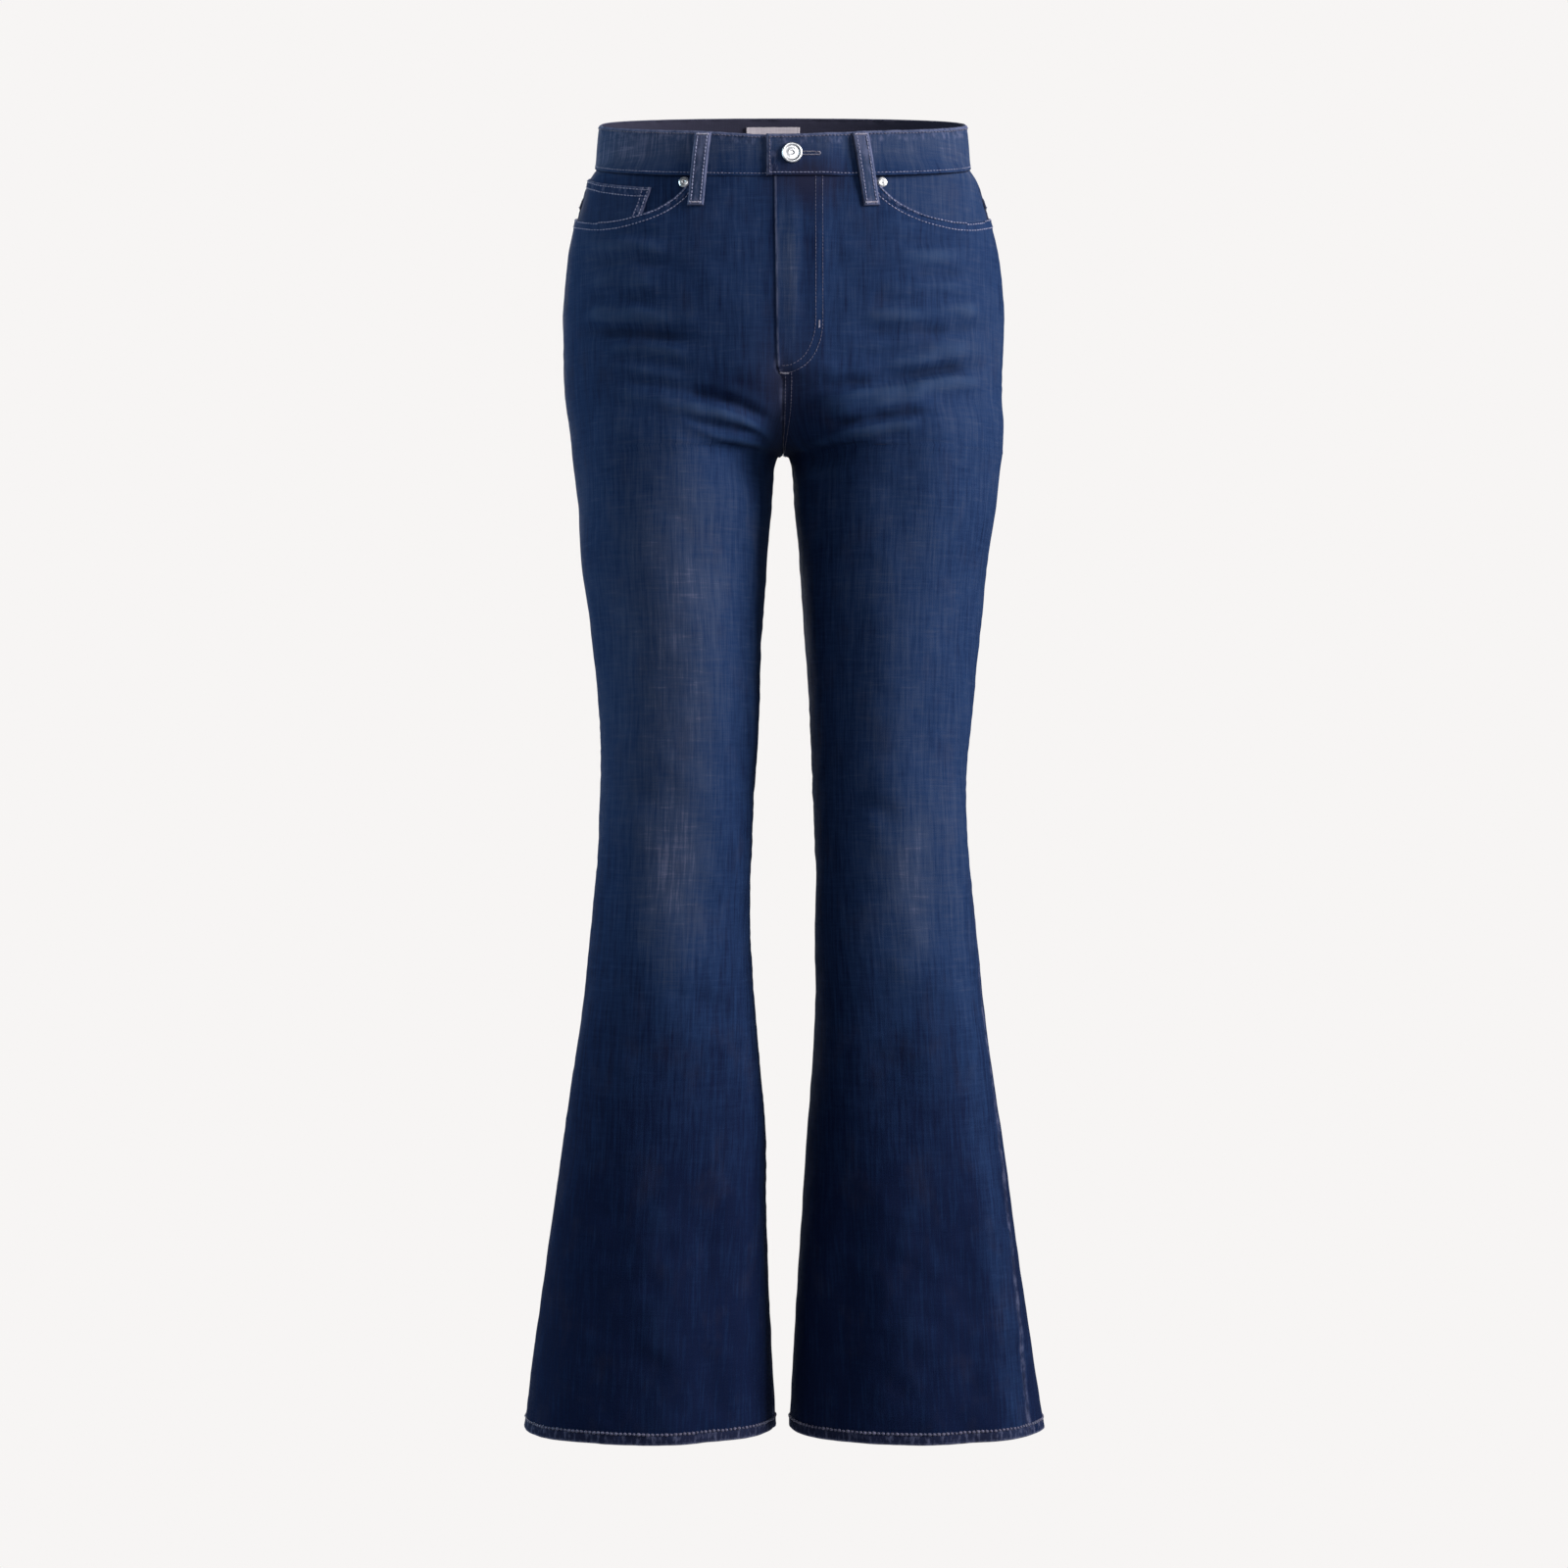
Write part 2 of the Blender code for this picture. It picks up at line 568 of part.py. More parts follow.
def between(start, end, count, bunched=1.0):
    """A row of count + 1 (d, z) places from start to end, closer together towards the end."""
    steps = 1.0 - np.linspace(1.0, 0.0, count + 1) ** bunched
    return [(start[0] + (end[0] - start[0]) * t, start[1] + (end[1] - start[1]) * t) for t in steps]


def along_rise(top_z, rise, back, count):
    """Heights of points evenly spaced down the centre seam from top_z to the crotch."""
    z = CROTCH_Z + (top_z - CROTCH_Z) * np.linspace(1.0, 0.0, RISE_SAMPLES) ** 2
    y = [centre_line_y(h, rise, section_values(h).back_y if back else section_values(h).front_y) for h in z]
    run = np.concatenate([[0.0], np.cumsum(np.hypot(np.diff(z), np.diff(y)))])
    return np.interp(np.linspace(0.0, run[-1], count + 1), run, z)


def row_bunching(z):
    return 1.0 + (BUNCHED - 1.0) * float(smooth((z - CROTCH_Z) / (MOUTH_END_Z - CROTCH_Z)))


def fly_lap(z):
    top = from_front(0.0)
    return FLY_LAP + (FLY_LAP_END - FLY_LAP) * (top - z) / (top - FLY_END_Z)


def front_edge(side, z):
    """Where a front panel's inner edge lies: minus past the centre, plus short of it."""
    if z < FLY_END_Z - AT_FLY_END:
        return 0.0
    if side == LEFT:
        return -fly_lap(z)
    return -RIGHT_EDGE if z > FLY_END_Z + AT_FLY_END else fly_lap(z) + SEAM_GAP


def fly_raise(d, z):
    """How far the lapped left front lies out of the form."""
    if z < FLY_END_Z - AT_FLY_END:
        return 0.0
    return FLY_RAISE * float(smooth((FLY_FADE - d) / (FLY_FADE - FLY_FULL)))


def front_panel(name, side):
    """A leg's front, from the waist seam to the hem, with the pocket mouth cut out of it."""
    top = from_front(0.0) - HALF_GAP
    inner_z = [*np.linspace(top, MOUTH_ROWS_END_Z, MOUTH_ROWS + 1), *FLY_ROWS_Z]
    inner_z += list(along_rise(FLY_JOINED_Z, FRONT_RISE, False, FRONT_RISE_ROWS))[1:]
    below_mouth = len(inner_z) - 1 - MOUTH_ROWS
    grid = []
    for row, z in enumerate(inner_z):
        start = (front_edge(side, z), z)
        if row < MOUTH_ROWS:
            end = mouth_point(1.0 - (1.0 - row / MOUTH_ROWS) ** MOUTH_BUNCHED, HALF_GAP)
        else:
            side_z = MOUTH_END_Z - HALF_GAP
            side_z += (SIDE_AT_CROTCH_Z - side_z) * (row - MOUTH_ROWS) / below_mouth
            end = (side_seam(side, side_z) - HALF_GAP, side_z)
        places = between(start, end, PANEL_COLUMNS, row_bunching(end[1]) if row >= BUNCHED_FROM_ROW else 1.0)
        if row == 0:
            places = [(d, from_front(abs(d)) - HALF_GAP) for d, _ in places]
        grid.append(places)
    grid[-1][0] = (HALF_GAP, CROTCH_Z)
    for row in LEG_ROWS:
        start = (inseam(side, row.inseam_z) + HALF_GAP, row.inseam_z)
        grid.append(between(start, (side_seam(side, row.side_z) - HALF_GAP, row.side_z), PANEL_COLUMNS))
    return cloth_wall(name, side, grid, fly_raise if side == LEFT else 0.0, CLOTH, "denim")


def back_panel(name, side):
    """A leg's back, from the yoke seam to the hem."""
    inner_z = along_rise(yoke_point(1.0)[1] - HALF_GAP, BACK_RISE, True, BACK_ROWS)
    side_top = yoke_point(0.0)[1] - HALF_GAP
    grid = []
    for row, z in enumerate(inner_z):
        side_z = side_top + (SIDE_AT_CROTCH_Z - side_top) * row / BACK_ROWS
        bunched = row_bunching(side_z)
        start = (side_seam(side, side_z) + HALF_GAP, side_z)
        places = between((whole_length(z), z), start, PANEL_COLUMNS, bunched)[::-1]
        if row == 0:
            shares = np.linspace(0.0, 1.0, PANEL_COLUMNS + 1) ** bunched
            places = [start] + [(d, low - HALF_GAP) for d, low in map(yoke_point, shares[1:])]
        grid.append(places)
    grid[-1][-1] = (whole_length(CROTCH_Z) - HALF_GAP, CROTCH_Z)
    for row in LEG_ROWS:
        end = (inseam(side, row.inseam_z, of_back=True) - HALF_GAP, row.inseam_z)
        grid.append(between((side_seam(side, row.side_z) + HALF_GAP, row.side_z), end, PANEL_COLUMNS))
    return cloth_wall(name, side, grid, 0.0, CLOTH, "denim")


def yoke(name, side):
    """The shaped piece between the waist seam and the back panel."""
    grid = []
    for down in np.linspace(0.0, 1.0, YOKE_GRID.rows):
        row = []
        for share in np.linspace(0.0, 1.0, YOKE_GRID.columns) ** BUNCHED:
            low_z = yoke_point(share)[1]
            high_z = waist_z(lambda z: round_the_waist(z, 1.0 + share), 0.0)
            z = high_z - HALF_GAP + (low_z + SEAM_GAP - high_z) * down
            row.append((round_the_waist(z, 1.0 + share) + (HALF_GAP if share == 0 else 0.0), z))
        grid.append(row)
    return cloth_wall(name, side, grid, 0.0, CLOTH, "denim")


def band_raise(d):
    return BAND_RAISE * float(smooth((BAND_FADE - d) / (BAND_FADE - BAND_FULL)))


def band_top(d):
    """Height of the band's top edge above the waist seam."""
    return BAND_HEIGHT - BAND_DIP * float(smooth(1.0 - abs(d) / BAND_DIP_WIDTH))


def waistband():
    """One strip round the waist, whose left end laps over its right end at the front."""
    rear = [1.0 + step / BAND_REAR_STEPS for step in range(1, BAND_REAR_STEPS + 1)]
    shares = [*BAND_FLANK_SHARES, *rear]
    places = [(LEFT, d, None) for d in BAND_LAP_PLACES] + [(LEFT, None, share) for share in shares]
    places += [(RIGHT, None, share) for share in shares[-2::-1]]
    places += [(RIGHT, d, None) for d in BAND_UNDER_PLACES]
    outer, inner = [], []
    for level in (1.0, 0.5, 0.0):
        out_row, in_row = [], []
        for side, distance, share in places:
            where = (lambda z: distance) if share is None else (lambda z: round_the_waist(z, share))
            z = waist_z(where, 0.0)
            z = waist_z(where, HALF_GAP + (band_top(where(z)) - HALF_GAP) * level)
            d = where(z)
            out = BAND_PROUD + (band_raise(d) if side == LEFT else 0.0)
            out_row.append(cloth_point(side, z, d, out))
            in_row.append(cloth_point(side, z, d, out - BAND_CLOTH))
        outer.append(out_row)
        inner.append(in_row)
    return wall("waistband", np.array(outer), np.array(inner), "denim")


def facing_face(d, z):
    """The facing lies deepest where the front panel covers it."""
    shown = float(smooth((FACING_SINKS - mouth_reach(d, z)) / FACING_SINKS))
    return -FACING_SUNK + (FACING_SUNK - FACING_SHOWN) * shown


def pocket_facing(name, side):
    """The hip piece that shows behind a pocket mouth and runs on a little under the front."""
    grid = []
    for down in np.linspace(0.0, 1.0, FACING_GRID.rows):
        row = []
        for across in np.linspace(0.0, 1.0, FACING_GRID.columns):
            depth = FACING_DEPTH * down
            z = SIDE_WAIST_Z - depth
            for _ in range(SETTLING):
                end = front_length(z) - HALF_GAP
                d = FACING_START + (end - FACING_START) * across
                z = from_front(d) - TUCKED - depth
            row.append((d, z))
        grid.append(row)
    return cloth_wall(name, side, grid, facing_face, CLOTH, "denim")


def coin_pocket():
    """The small pocket on the right facing, whose foot runs in under the mouth."""
    grid = []
    for down in np.linspace(0.0, 1.0, COIN_GRID.rows):
        row = []
        depth = COIN_TOP + COIN_DEPTH * down
        start = COIN_EDGE_TOP + (COIN_EDGE_BOTTOM - COIN_EDGE_TOP) * down
        for across in np.linspace(0.0, 1.0, COIN_GRID.columns):
            z = SIDE_WAIST_Z - depth
            for _ in range(SETTLING):
                d = start + (front_length(z) - COIN_SHORT - start) * across
                z = from_front(d) - depth
            row.append((d, z))
        grid.append(row)

    def face(d, z):
        return facing_face(d, z) + COIN_CLEAR + COIN_CLOTH

    return cloth_wall("coin_pocket", RIGHT, grid, face, COIN_CLOTH, "denim")


def pocket_bag(name, side):
    """The cotton pouch behind a front pocket, lying flat against the inside of the leg."""
    grid = []
    for down in np.linspace(0.0, 1.0, BAG_GRID.rows):
        row = []
        for across in np.linspace(-1.0, 1.0, BAG_GRID.columns):
            rounded = BAG_DEPTH * (1 - BAG_ROUNDED * across**2)
            z = SIDE_WAIST_Z - rounded * down
            for _ in range(SETTLING):
                end = front_length(z) - BAG_SHORT
                d = (BAG_START + end) / 2 + across * (end - BAG_START) / 2
                z = from_front(d) - TUCKED - rounded * down
            row.append((d, z))
        grid.append(row)
    return cloth_wall(name, side, grid, -BAG_SUNK, BAG_CLOTH, "pocketing")


def fly_strip(name, edges, end_z, face, thickness, finish):
    """A straight strip behind the fly, between two distances from the centre front."""
    grid = []
    for down in np.linspace(0.0, 1.0, FLY_GRID.rows):
        grid.append(
            [(d, from_front(abs(d)) - SEAM_GAP + (end_z - from_front(abs(d))) * down)
             for d in np.linspace(*edges, FLY_GRID.columns)]
        )
    return cloth_wall(name, LEFT, grid, face, thickness, finish)


def back_pocket(name, side):
    """A plain five-sided patch pocket, its top edge parallel to the yoke seam."""
    grid = []
    for down in np.linspace(0.0, 1.0, BACK_POCKET_GRID.rows):
        row = []
        half = POCKET_HALF_TOP + (POCKET_HALF_BOTTOM - POCKET_HALF_TOP) * down
        for across in np.linspace(-1.0, 1.0, BACK_POCKET_GRID.columns):
            deep = POCKET_POINT + (POCKET_SIDE - POCKET_POINT) * abs(across)
            z = yoke_point(0.5)[1]
            from_centre = POCKET_CENTRE + across * half
            for _ in range(SETTLING):
                share = 1.0 - from_centre / (whole_length(z) - front_length(z))
                z = yoke_point(share)[1] - POCKET_BELOW_YOKE - deep * down
            row.append((whole_length(z) - from_centre, z))
        grid.append(row)
    return cloth_wall(name, side, grid, POCKET_CLEAR + CLOTH, CLOTH, "denim")


def belt_loop(loop):
    """A strip that leaves room for a belt, sewn down above and below the waistband."""
    outer, inner = [], []
    reach = LOOP_BENDS[-1].height - LOOP_BENDS[0].height
    for bend in LOOP_BENDS:
        share = (bend.height - LOOP_BENDS[0].height) / reach
        middle = loop.bottom + (loop.top - loop.bottom) * share
        out_row, in_row = [], []
        for across in (-1.0, 0.0, 1.0):
            where = middle + across * LOOP_WIDTH / 2
            z = from_back(where, bend.height) if loop.from_back else from_front(where, bend.height)
            d = whole_length(z) - where if loop.from_back else where
            out = bend.stands_off + SEAM_GAP * (bend.height > 0)
            in_row.append(cloth_point(loop.side, z, d, out))
            out_row.append(cloth_point(loop.side, z, d, out + LOOP_CLOTH))
        outer.append(out_row)
        inner.append(in_row)
    return wall(loop.name, np.array(outer), np.array(inner), "denim_trim")


def label():
    """The woven label inside the back of the waistband."""
    grid = []
    for down in np.linspace(0.0, 1.0, LABEL_GRID.rows):
        row = []
        for q in np.linspace(-0.5, 0.5, LABEL_GRID.columns) * LABEL_WIDTH + LABEL_CENTRE:
            z = from_back(abs(q), BAND_HEIGHT - LABEL_DROP - LABEL_HEIGHT * down)
            row.append((whole_length(z) - q, z))
        grid.append(row)
    face = BAND_PROUD - BAND_CLOTH - LABEL_CLEAR
    return cloth_wall("waist_label", LEFT, grid, face, LABEL_CLOTH, "label")


def turned(name, profile, place, axis, finish, steps):
    """A solid turned from (radius, height) pairs round an axis that points out of the cloth."""
    mesh = bmesh.new()
    verts = [mesh.verts.new((r, 0.0, h)) for r, h in profile]
    edges = [mesh.edges.new(pair) for pair in zip(verts, verts[1:])]
    bmesh.ops.spin(
        mesh, geom=verts + edges, axis=(0, 0, 1), cent=(0, 0, 0), angle=math.tau, steps=steps, use_merge=True
    )
    bmesh.ops.remove_doubles(mesh, verts=mesh.verts[:], dist=SAME_PLACE)
    bmesh.ops.recalc_face_normals(mesh, faces=mesh.faces[:])
    if mesh.calc_volume(signed=True) < 0:
        bmesh.ops.reverse_faces(mesh, faces=mesh.faces[:])
    made = add_object(name, mesh, finish)
    made.location = Vector(place)
    made.rotation_euler = Vector(axis).to_track_quat("Z", "Y").to_euler()
    return made


def button():
    """The shank button: its post comes up through the buttonhole from the band's under end."""
    z = from_front(BUTTON_X, BUTTON_HEIGHT)
    foot = BAND_PROUD + SEAM_GAP
    under_head = BAND_PROUD + BAND_RAISE + 2 * SEAM_GAP
    profile = [(0.0, foot), (SHANK_RADIUS, foot), (SHANK_RADIUS, under_head)]
    profile += [(ring.radius, under_head + ring.height) for ring in BUTTON_HEAD]
    place, axis = on_form(LEFT, z, BUTTON_X), normal(LEFT, z, BUTTON_X)
    return turned("button", profile, place, axis, "nickel", BUTTON_STEPS)


def buttonhole_cutter():
    """A keyhole that the post passes, with its slit running away from the band's end."""
    z = from_front(BUTTON_X, BUTTON_HEIGHT)
    low, high = BAND_PROUD + HALF_GAP, BAND_PROUD + BAND_RAISE + CUT_PAST
    eye = [
        (HOLE_RADIUS * math.cos(a), HOLE_RADIUS * math.sin(a))
        for a in np.linspace(EYE_OPENS, math.tau - EYE_OPENS, EYE_POINTS)
    ]
    end = SLIT_END - BUTTON_X
    loop = eye + [(end, -SLIT_WIDTH / 2), (end, SLIT_WIDTH / 2)]
    mesh = bmesh.new()
    face = mesh.faces.new([mesh.verts.new((x, -low, y)) for x, y in loop])
    grown = bmesh.ops.extrude_face_region(mesh, geom=[face])["geom"]
    bmesh.ops.translate(
        mesh, verts=[v for v in grown if isinstance(v, bmesh.types.BMVert)], vec=(0, -(high - low), 0)
    )
    bmesh.ops.recalc_face_normals(mesh, faces=mesh.faces[:])
    cutter = add_object("buttonhole_cutter", mesh, "denim")
    out = normal(LEFT, z, BUTTON_X)
    tilt = Vector((0, -1, 0)).rotation_difference(Vector(out)).to_matrix().to_4x4()
    cutter.matrix_world = Matrix.Translation(Vector(on_form(LEFT, z, BUTTON_X))) @ tilt
    cutter.hide_render = True
    cutter.display_type = "WIRE"
    return cutter


def rivet(name, side):
    z = from_front(RIVET_X) - RIVET_DROP
    profile = [(ring.radius, RIVET_CLEAR + ring.height) for ring in RIVET_HEAD]
    return turned(name, profile, on_form(side, z, RIVET_X), normal(side, z, RIVET_X), "nickel", RIVET_STEPS)


def main():
    for old in list(bpy.data.objects):
        bpy.data.objects.remove(old)
    for word, side in SIDES.items():
        front_panel(f"front_{word}", side)
        back_panel(f"back_{word}", side)
        yoke(f"yoke_{word}", side)
        pocket_facing(f"pocket_facing_{word}", side)
        pocket_bag(f"pocket_bag_{word}", side)
        back_pocket(f"back_pocket_{word}", side)
        rivet(f"rivet_{word}", side)
    coin_pocket()
    fly_strip("zip", ZIP_EDGES, ZIP_END_Z, ZIP_FACE, ZIP_CLOTH, "zip")
    fly_strip("fly_shield", SHIELD_EDGES, SHIELD_END_Z, SHIELD_FACE, CLOTH, "denim")
    band = waistband()
    cut = band.modifiers.new("buttonhole", "BOOLEAN")
    cut.object = buttonhole_cutter()
    cut.operation = "DIFFERENCE"
    for loop in LOOPS:
        belt_loop(loop)
    button()
    label()


main()
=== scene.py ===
import math

import bmesh
import bpy
import numpy as np
from mathutils import Matrix, Vector
from mathutils.bvhtree import BVHTree


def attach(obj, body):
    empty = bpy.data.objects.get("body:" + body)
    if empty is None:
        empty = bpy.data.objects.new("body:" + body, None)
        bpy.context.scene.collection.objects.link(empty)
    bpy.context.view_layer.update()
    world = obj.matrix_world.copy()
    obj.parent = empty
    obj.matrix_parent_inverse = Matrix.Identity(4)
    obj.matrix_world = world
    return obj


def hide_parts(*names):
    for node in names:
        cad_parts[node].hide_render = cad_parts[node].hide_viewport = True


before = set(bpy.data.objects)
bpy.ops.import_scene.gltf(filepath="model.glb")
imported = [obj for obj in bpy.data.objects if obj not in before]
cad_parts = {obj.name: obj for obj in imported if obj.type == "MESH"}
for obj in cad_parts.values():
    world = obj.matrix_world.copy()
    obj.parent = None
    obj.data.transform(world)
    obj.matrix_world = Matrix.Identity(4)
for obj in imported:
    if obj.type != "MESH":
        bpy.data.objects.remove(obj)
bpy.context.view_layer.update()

left, right = 1, -1  # the wearer's sides, as signs of x
sideNames = {left: "left", right: "right"}
scene = bpy.context.scene

# Camera, floor and lights. The backdrop colours are what the camera sees behind the jeans.
studio = {
    "cameraPlace": (0.0008, -2.6, -0.5395),
    "cameraLens": 70.5,
    "backdropColour": (0.93, 0.913, 0.905),
    "fillColour": (0.8, 0.88, 1.0),
    "fillStrength": 0.09,
    "floorColour": (0.3, 0.3, 0.31),
    "floorHeight": -1.25,
    "floorReach": 40.0,
}
# name, place, aimed at, width, height, watts, colour
lampList = [
    ("keyLamp", (2.3, -0.95, 0.65), (0.02, 0.0, -0.5), 0.8, 1.9, 122.0, (1.0, 0.99, 0.975)),
    ("frontLamp", (0.45, -2.75, 0.45), (0.0, 0.0, -0.55), 1.1, 1.4, 20.0, (0.98, 0.99, 1.0)),
    ("leftLamp", (-2.2, 0.05, 0.15), (-0.1, 0.0, -0.5), 0.8, 1.7, 34.0, (0.64, 0.88, 1.0)),
    ("backLamp", (-0.9, 2.3, 0.6), (0.0, 0.0, -0.5), 1.5, 1.5, 44.0, (1.0, 1.0, 1.0)),
]


def feed(tree, socket, value):
    if isinstance(value, bpy.types.NodeSocket):
        tree.links.new(value, socket)
    else:
        socket.default_value = value


def addNode(tree, kind, values=None, **settings):
    # A node with its settings, then a value or a link for each input that is given
    node = tree.nodes.new(kind)
    for name, value in settings.items():
        setattr(node, name, value)
    for socket, value in (values or {}).items():
        feed(tree, node.inputs[socket], value)
    return node


def seenByCamera(tree, outKind, others, straight):
    # One shader for what the camera sees straight, another for all other light
    path = addNode(tree, "ShaderNodeLightPath")
    mix = addNode(tree, "ShaderNodeMixShader", {0: path.outputs["Is Camera Ray"], 1: others.outputs[0],
                                                2: straight.outputs[0]})
    addNode(tree, outKind, {0: mix.outputs[0]})


def makeStudio():
    backdrop = (*studio["backdropColour"], 1.0)
    world = bpy.data.worlds.new("studioWorld")
    world.use_nodes = True
    tree = world.node_tree
    tree.nodes.clear()
    fill = addNode(tree, "ShaderNodeBackground", {"Color": (*studio["fillColour"], 1.0),
                                                  "Strength": studio["fillStrength"]})
    plain = addNode(tree, "ShaderNodeBackground", {"Color": backdrop})
    seenByCamera(tree, "ShaderNodeOutputWorld", fill, plain)
    scene.world = world

    # The floor is as pale as the backdrop, so no horizon shows
    paint = bpy.data.materials.new("paleFloor")
    paint.use_nodes = True
    tree = paint.node_tree
    tree.nodes.clear()
    matt = addNode(tree, "ShaderNodeBsdfDiffuse", {"Color": (*studio["floorColour"], 1.0)})
    glow = addNode(tree, "ShaderNodeEmission", {"Color": backdrop})
    seenByCamera(tree, "ShaderNodeOutputMaterial", matt, glow)
    reach, height = studio["floorReach"], studio["floorHeight"]
    mesh = bpy.data.meshes.new("floor")
    corners = [(x * reach, y * reach, height) for x, y in ((-1, -1), (1, -1), (1, 1), (-1, 1))]
    mesh.from_pydata(corners, [], [(0, 1, 2, 3)])
    mesh.materials.append(paint)
    floor = bpy.data.objects.new("floor", mesh)
    scene.collection.objects.link(floor)

    for name, place, aim, width, height, watts, colour in lampList:
        lamp = bpy.data.lights.new(name, "AREA")
        lamp.shape, lamp.size, lamp.size_y = "RECTANGLE", width, height
        lamp.energy, lamp.color = watts, colour
        holder = bpy.data.objects.new(name, lamp)
        holder.location = place
        holder.rotation_euler = (Vector(aim) - Vector(place)).to_track_quat("-Z", "Y").to_euler()
        scene.collection.objects.link(holder)

    lens = bpy.data.cameras.new("camera")
    lens.sensor_width, lens.lens = 36.0, studio["cameraLens"]
    lens.clip_start, lens.clip_end = 0.05, 120.0
    camera = bpy.data.objects.new("camera", lens)
    camera.location = studio["cameraPlace"]
    camera.rotation_euler = (math.pi / 2, 0.0, 0.0)
    scene.collection.objects.link(camera)
    scene.camera = camera
    scene.view_settings.view_transform = "Standard"


makeStudio()
print("studio ready")

# The garment form. Each row: height, outermost and innermost x of a leg, foremost and rearmost y,
# y of the side seam and of the inseam, and how square the flank is.
sections = [
    (0.045, 0.1535, 0.0, -0.07, 0.07, 0.0, 0.006, 2.15),
    (0.02, 0.1545, 0.0, -0.0712, 0.0745, 0.0, 0.006, 2.15),
    (0.0, 0.156, 0.0, -0.0726, 0.0795, 0.0, 0.006, 2.15),
    (-0.018, 0.1578, 0.0, -0.0738, 0.0865, 0.0, 0.006, 2.15),
    (-0.03, 0.1648, 0.0, -0.0745, 0.0915, 0.0, 0.006, 2.15),
    (-0.042, 0.169, 0.0, -0.0764, 0.0952, 0.0, 0.006, 2.15),
    (-0.06, 0.174, 0.0, -0.08, 0.1, 0.0, 0.006, 2.2),
    (-0.1, 0.182, 0.0, -0.0885, 0.1095, 0.0, 0.006, 2.25),
    (-0.15, 0.1862, 0.0, -0.094, 0.1175, 0.0, 0.006, 2.25),
    (-0.19, 0.1856, 0.0, -0.094, 0.1185, 0.0, 0.006, 2.2),
    (-0.225, 0.1845, 0.0, -0.0925, 0.1145, 0.0, 0.006, 2.15),
    (-0.26, 0.1822, 0.0, -0.09, 0.107, 0.001, 0.006, 2.1),
    (-0.262, 0.182, 0.0035, -0.0898, 0.1065, 0.001, 0.006, 2.1),
    (-0.27, 0.1808, 0.0062, -0.089, 0.1045, 0.001, 0.006, 2.1),
    (-0.305, 0.1767, 0.009, -0.086, 0.097, 0.001, 0.005, 2.1),
    (-0.34, 0.1728, 0.0126, -0.0828, 0.0905, 0.001, 0.004, 2.1),
    (-0.405, 0.1648, 0.0166, -0.0765, 0.081, 0.001, 0.002, 2.05),
    (-0.47, 0.1588, 0.0202, -0.0695, 0.0725, 0.0, 0.001, 2.05),
    (-0.53, 0.1556, 0.0238, -0.063, 0.065, 0.0, 0.0, 2.05),
    (-0.59, 0.157, 0.0252, -0.06, 0.0615, 0.0, 0.0, 2.05),
    (-0.64, 0.1605, 0.0268, -0.0592, 0.0612, 0.0, 0.0, 2.0),
    (-0.705, 0.1678, 0.026, -0.06, 0.0628, 0.0, 0.0, 2.0),
    (-0.77, 0.1768, 0.0226, -0.0618, 0.0652, 0.001, 0.001, 2.0),
    (-0.84, 0.1862, 0.0174, -0.064, 0.0682, 0.001, 0.001, 2.0),
    (-0.92, 0.1972, 0.0138, -0.0665, 0.0715, 0.002, 0.002, 2.0),
    (-1.0, 0.2092, 0.0096, -0.0688, 0.0745, 0.002, 0.002, 2.0),
    (-1.084, 0.2194, 0.006, -0.0705, 0.077, 0.003, 0.003, 2.0),
]
form = {
    "topZ": 0.045,
    "hemZ": -1.084,
    "crotchZ": -0.26,
    "crotchY": 0.006,
    "inseamFillZ": -0.32,  # below this the inner thigh is fully round
    "crotchRidge": 0.8,
    "frontRiseZ": -0.18,  # where the centre lines start to swing in under the body
    "backRiseZ": -0.175,
    "riseRoundness": 2.2,
    "twistStartZ": -0.46,
    "twistAtHem": {left: 0.038, right: -0.006},  # how far the seams turn round the leg
    "twistGathers": 1.2,
    "cloth": 0.0012,
    "seamGap": 0.0003,
}
leans = [  # side, whether at the outer edge, height, reach, how far towards the wearer's left
    (left, True, -0.278, 0.056, 0.0045),
    (right, True, -0.278, 0.056, 0.0038),
    (left, False, -0.775, 0.095, 0.003),
    (right, False, -0.78, 0.1, 0.0036),
    (right, True, -0.44, 0.11, 0.0026),
    (left, True, -0.445, 0.06, 0.0022),
]
halfGap = form["seamGap"] / 2
crotchZ, hemZ = form["crotchZ"], form["hemZ"]
latticeSamples = 360


def smooth(t):
    t = np.clip(t, 0.0, 1.0)
    return t * t * (3.0 - 2.0 * t)


def runOf(steps):
    # The way along a line to each of its points
    return np.concatenate([[0.0], np.cumsum(steps)])


def slopesThrough(x, y):
    step = np.diff(y) / np.diff(x)
    total = np.where(step[:-1] + step[1:] == 0, 1, step[:-1] + step[1:])
    inner = np.where(step[:-1] * step[1:] > 0, 2 * step[:-1] * step[1:] / total, 0.0)
    return np.concatenate([step[:1], inner, step[-1:]])


sectionTable = np.array(sections[::-1], float)
sectionHeights = sectionTable[:, 0]
sectionSlopes = np.array([slopesThrough(sectionHeights, column) for column in sectionTable.T]).T


def sectionAt(z):
    i = np.clip(np.searchsorted(sectionHeights, z) - 1, 0, len(sectionHeights) - 2)
    span = (sectionHeights[i + 1] - sectionHeights[i])[:, None]
    t = (z[:, None] - sectionHeights[i][:, None]) / span
    near, far = 2 * t**3 - 3 * t**2 + 1, 3 * t**2 - 2 * t**3
    start, end = t**3 - 2 * t**2 + t, t**3 - t**2
    return (near * sectionTable[i] + far * sectionTable[i + 1]
            + span * (start * sectionSlopes[i] + end * sectionSlopes[i + 1]))


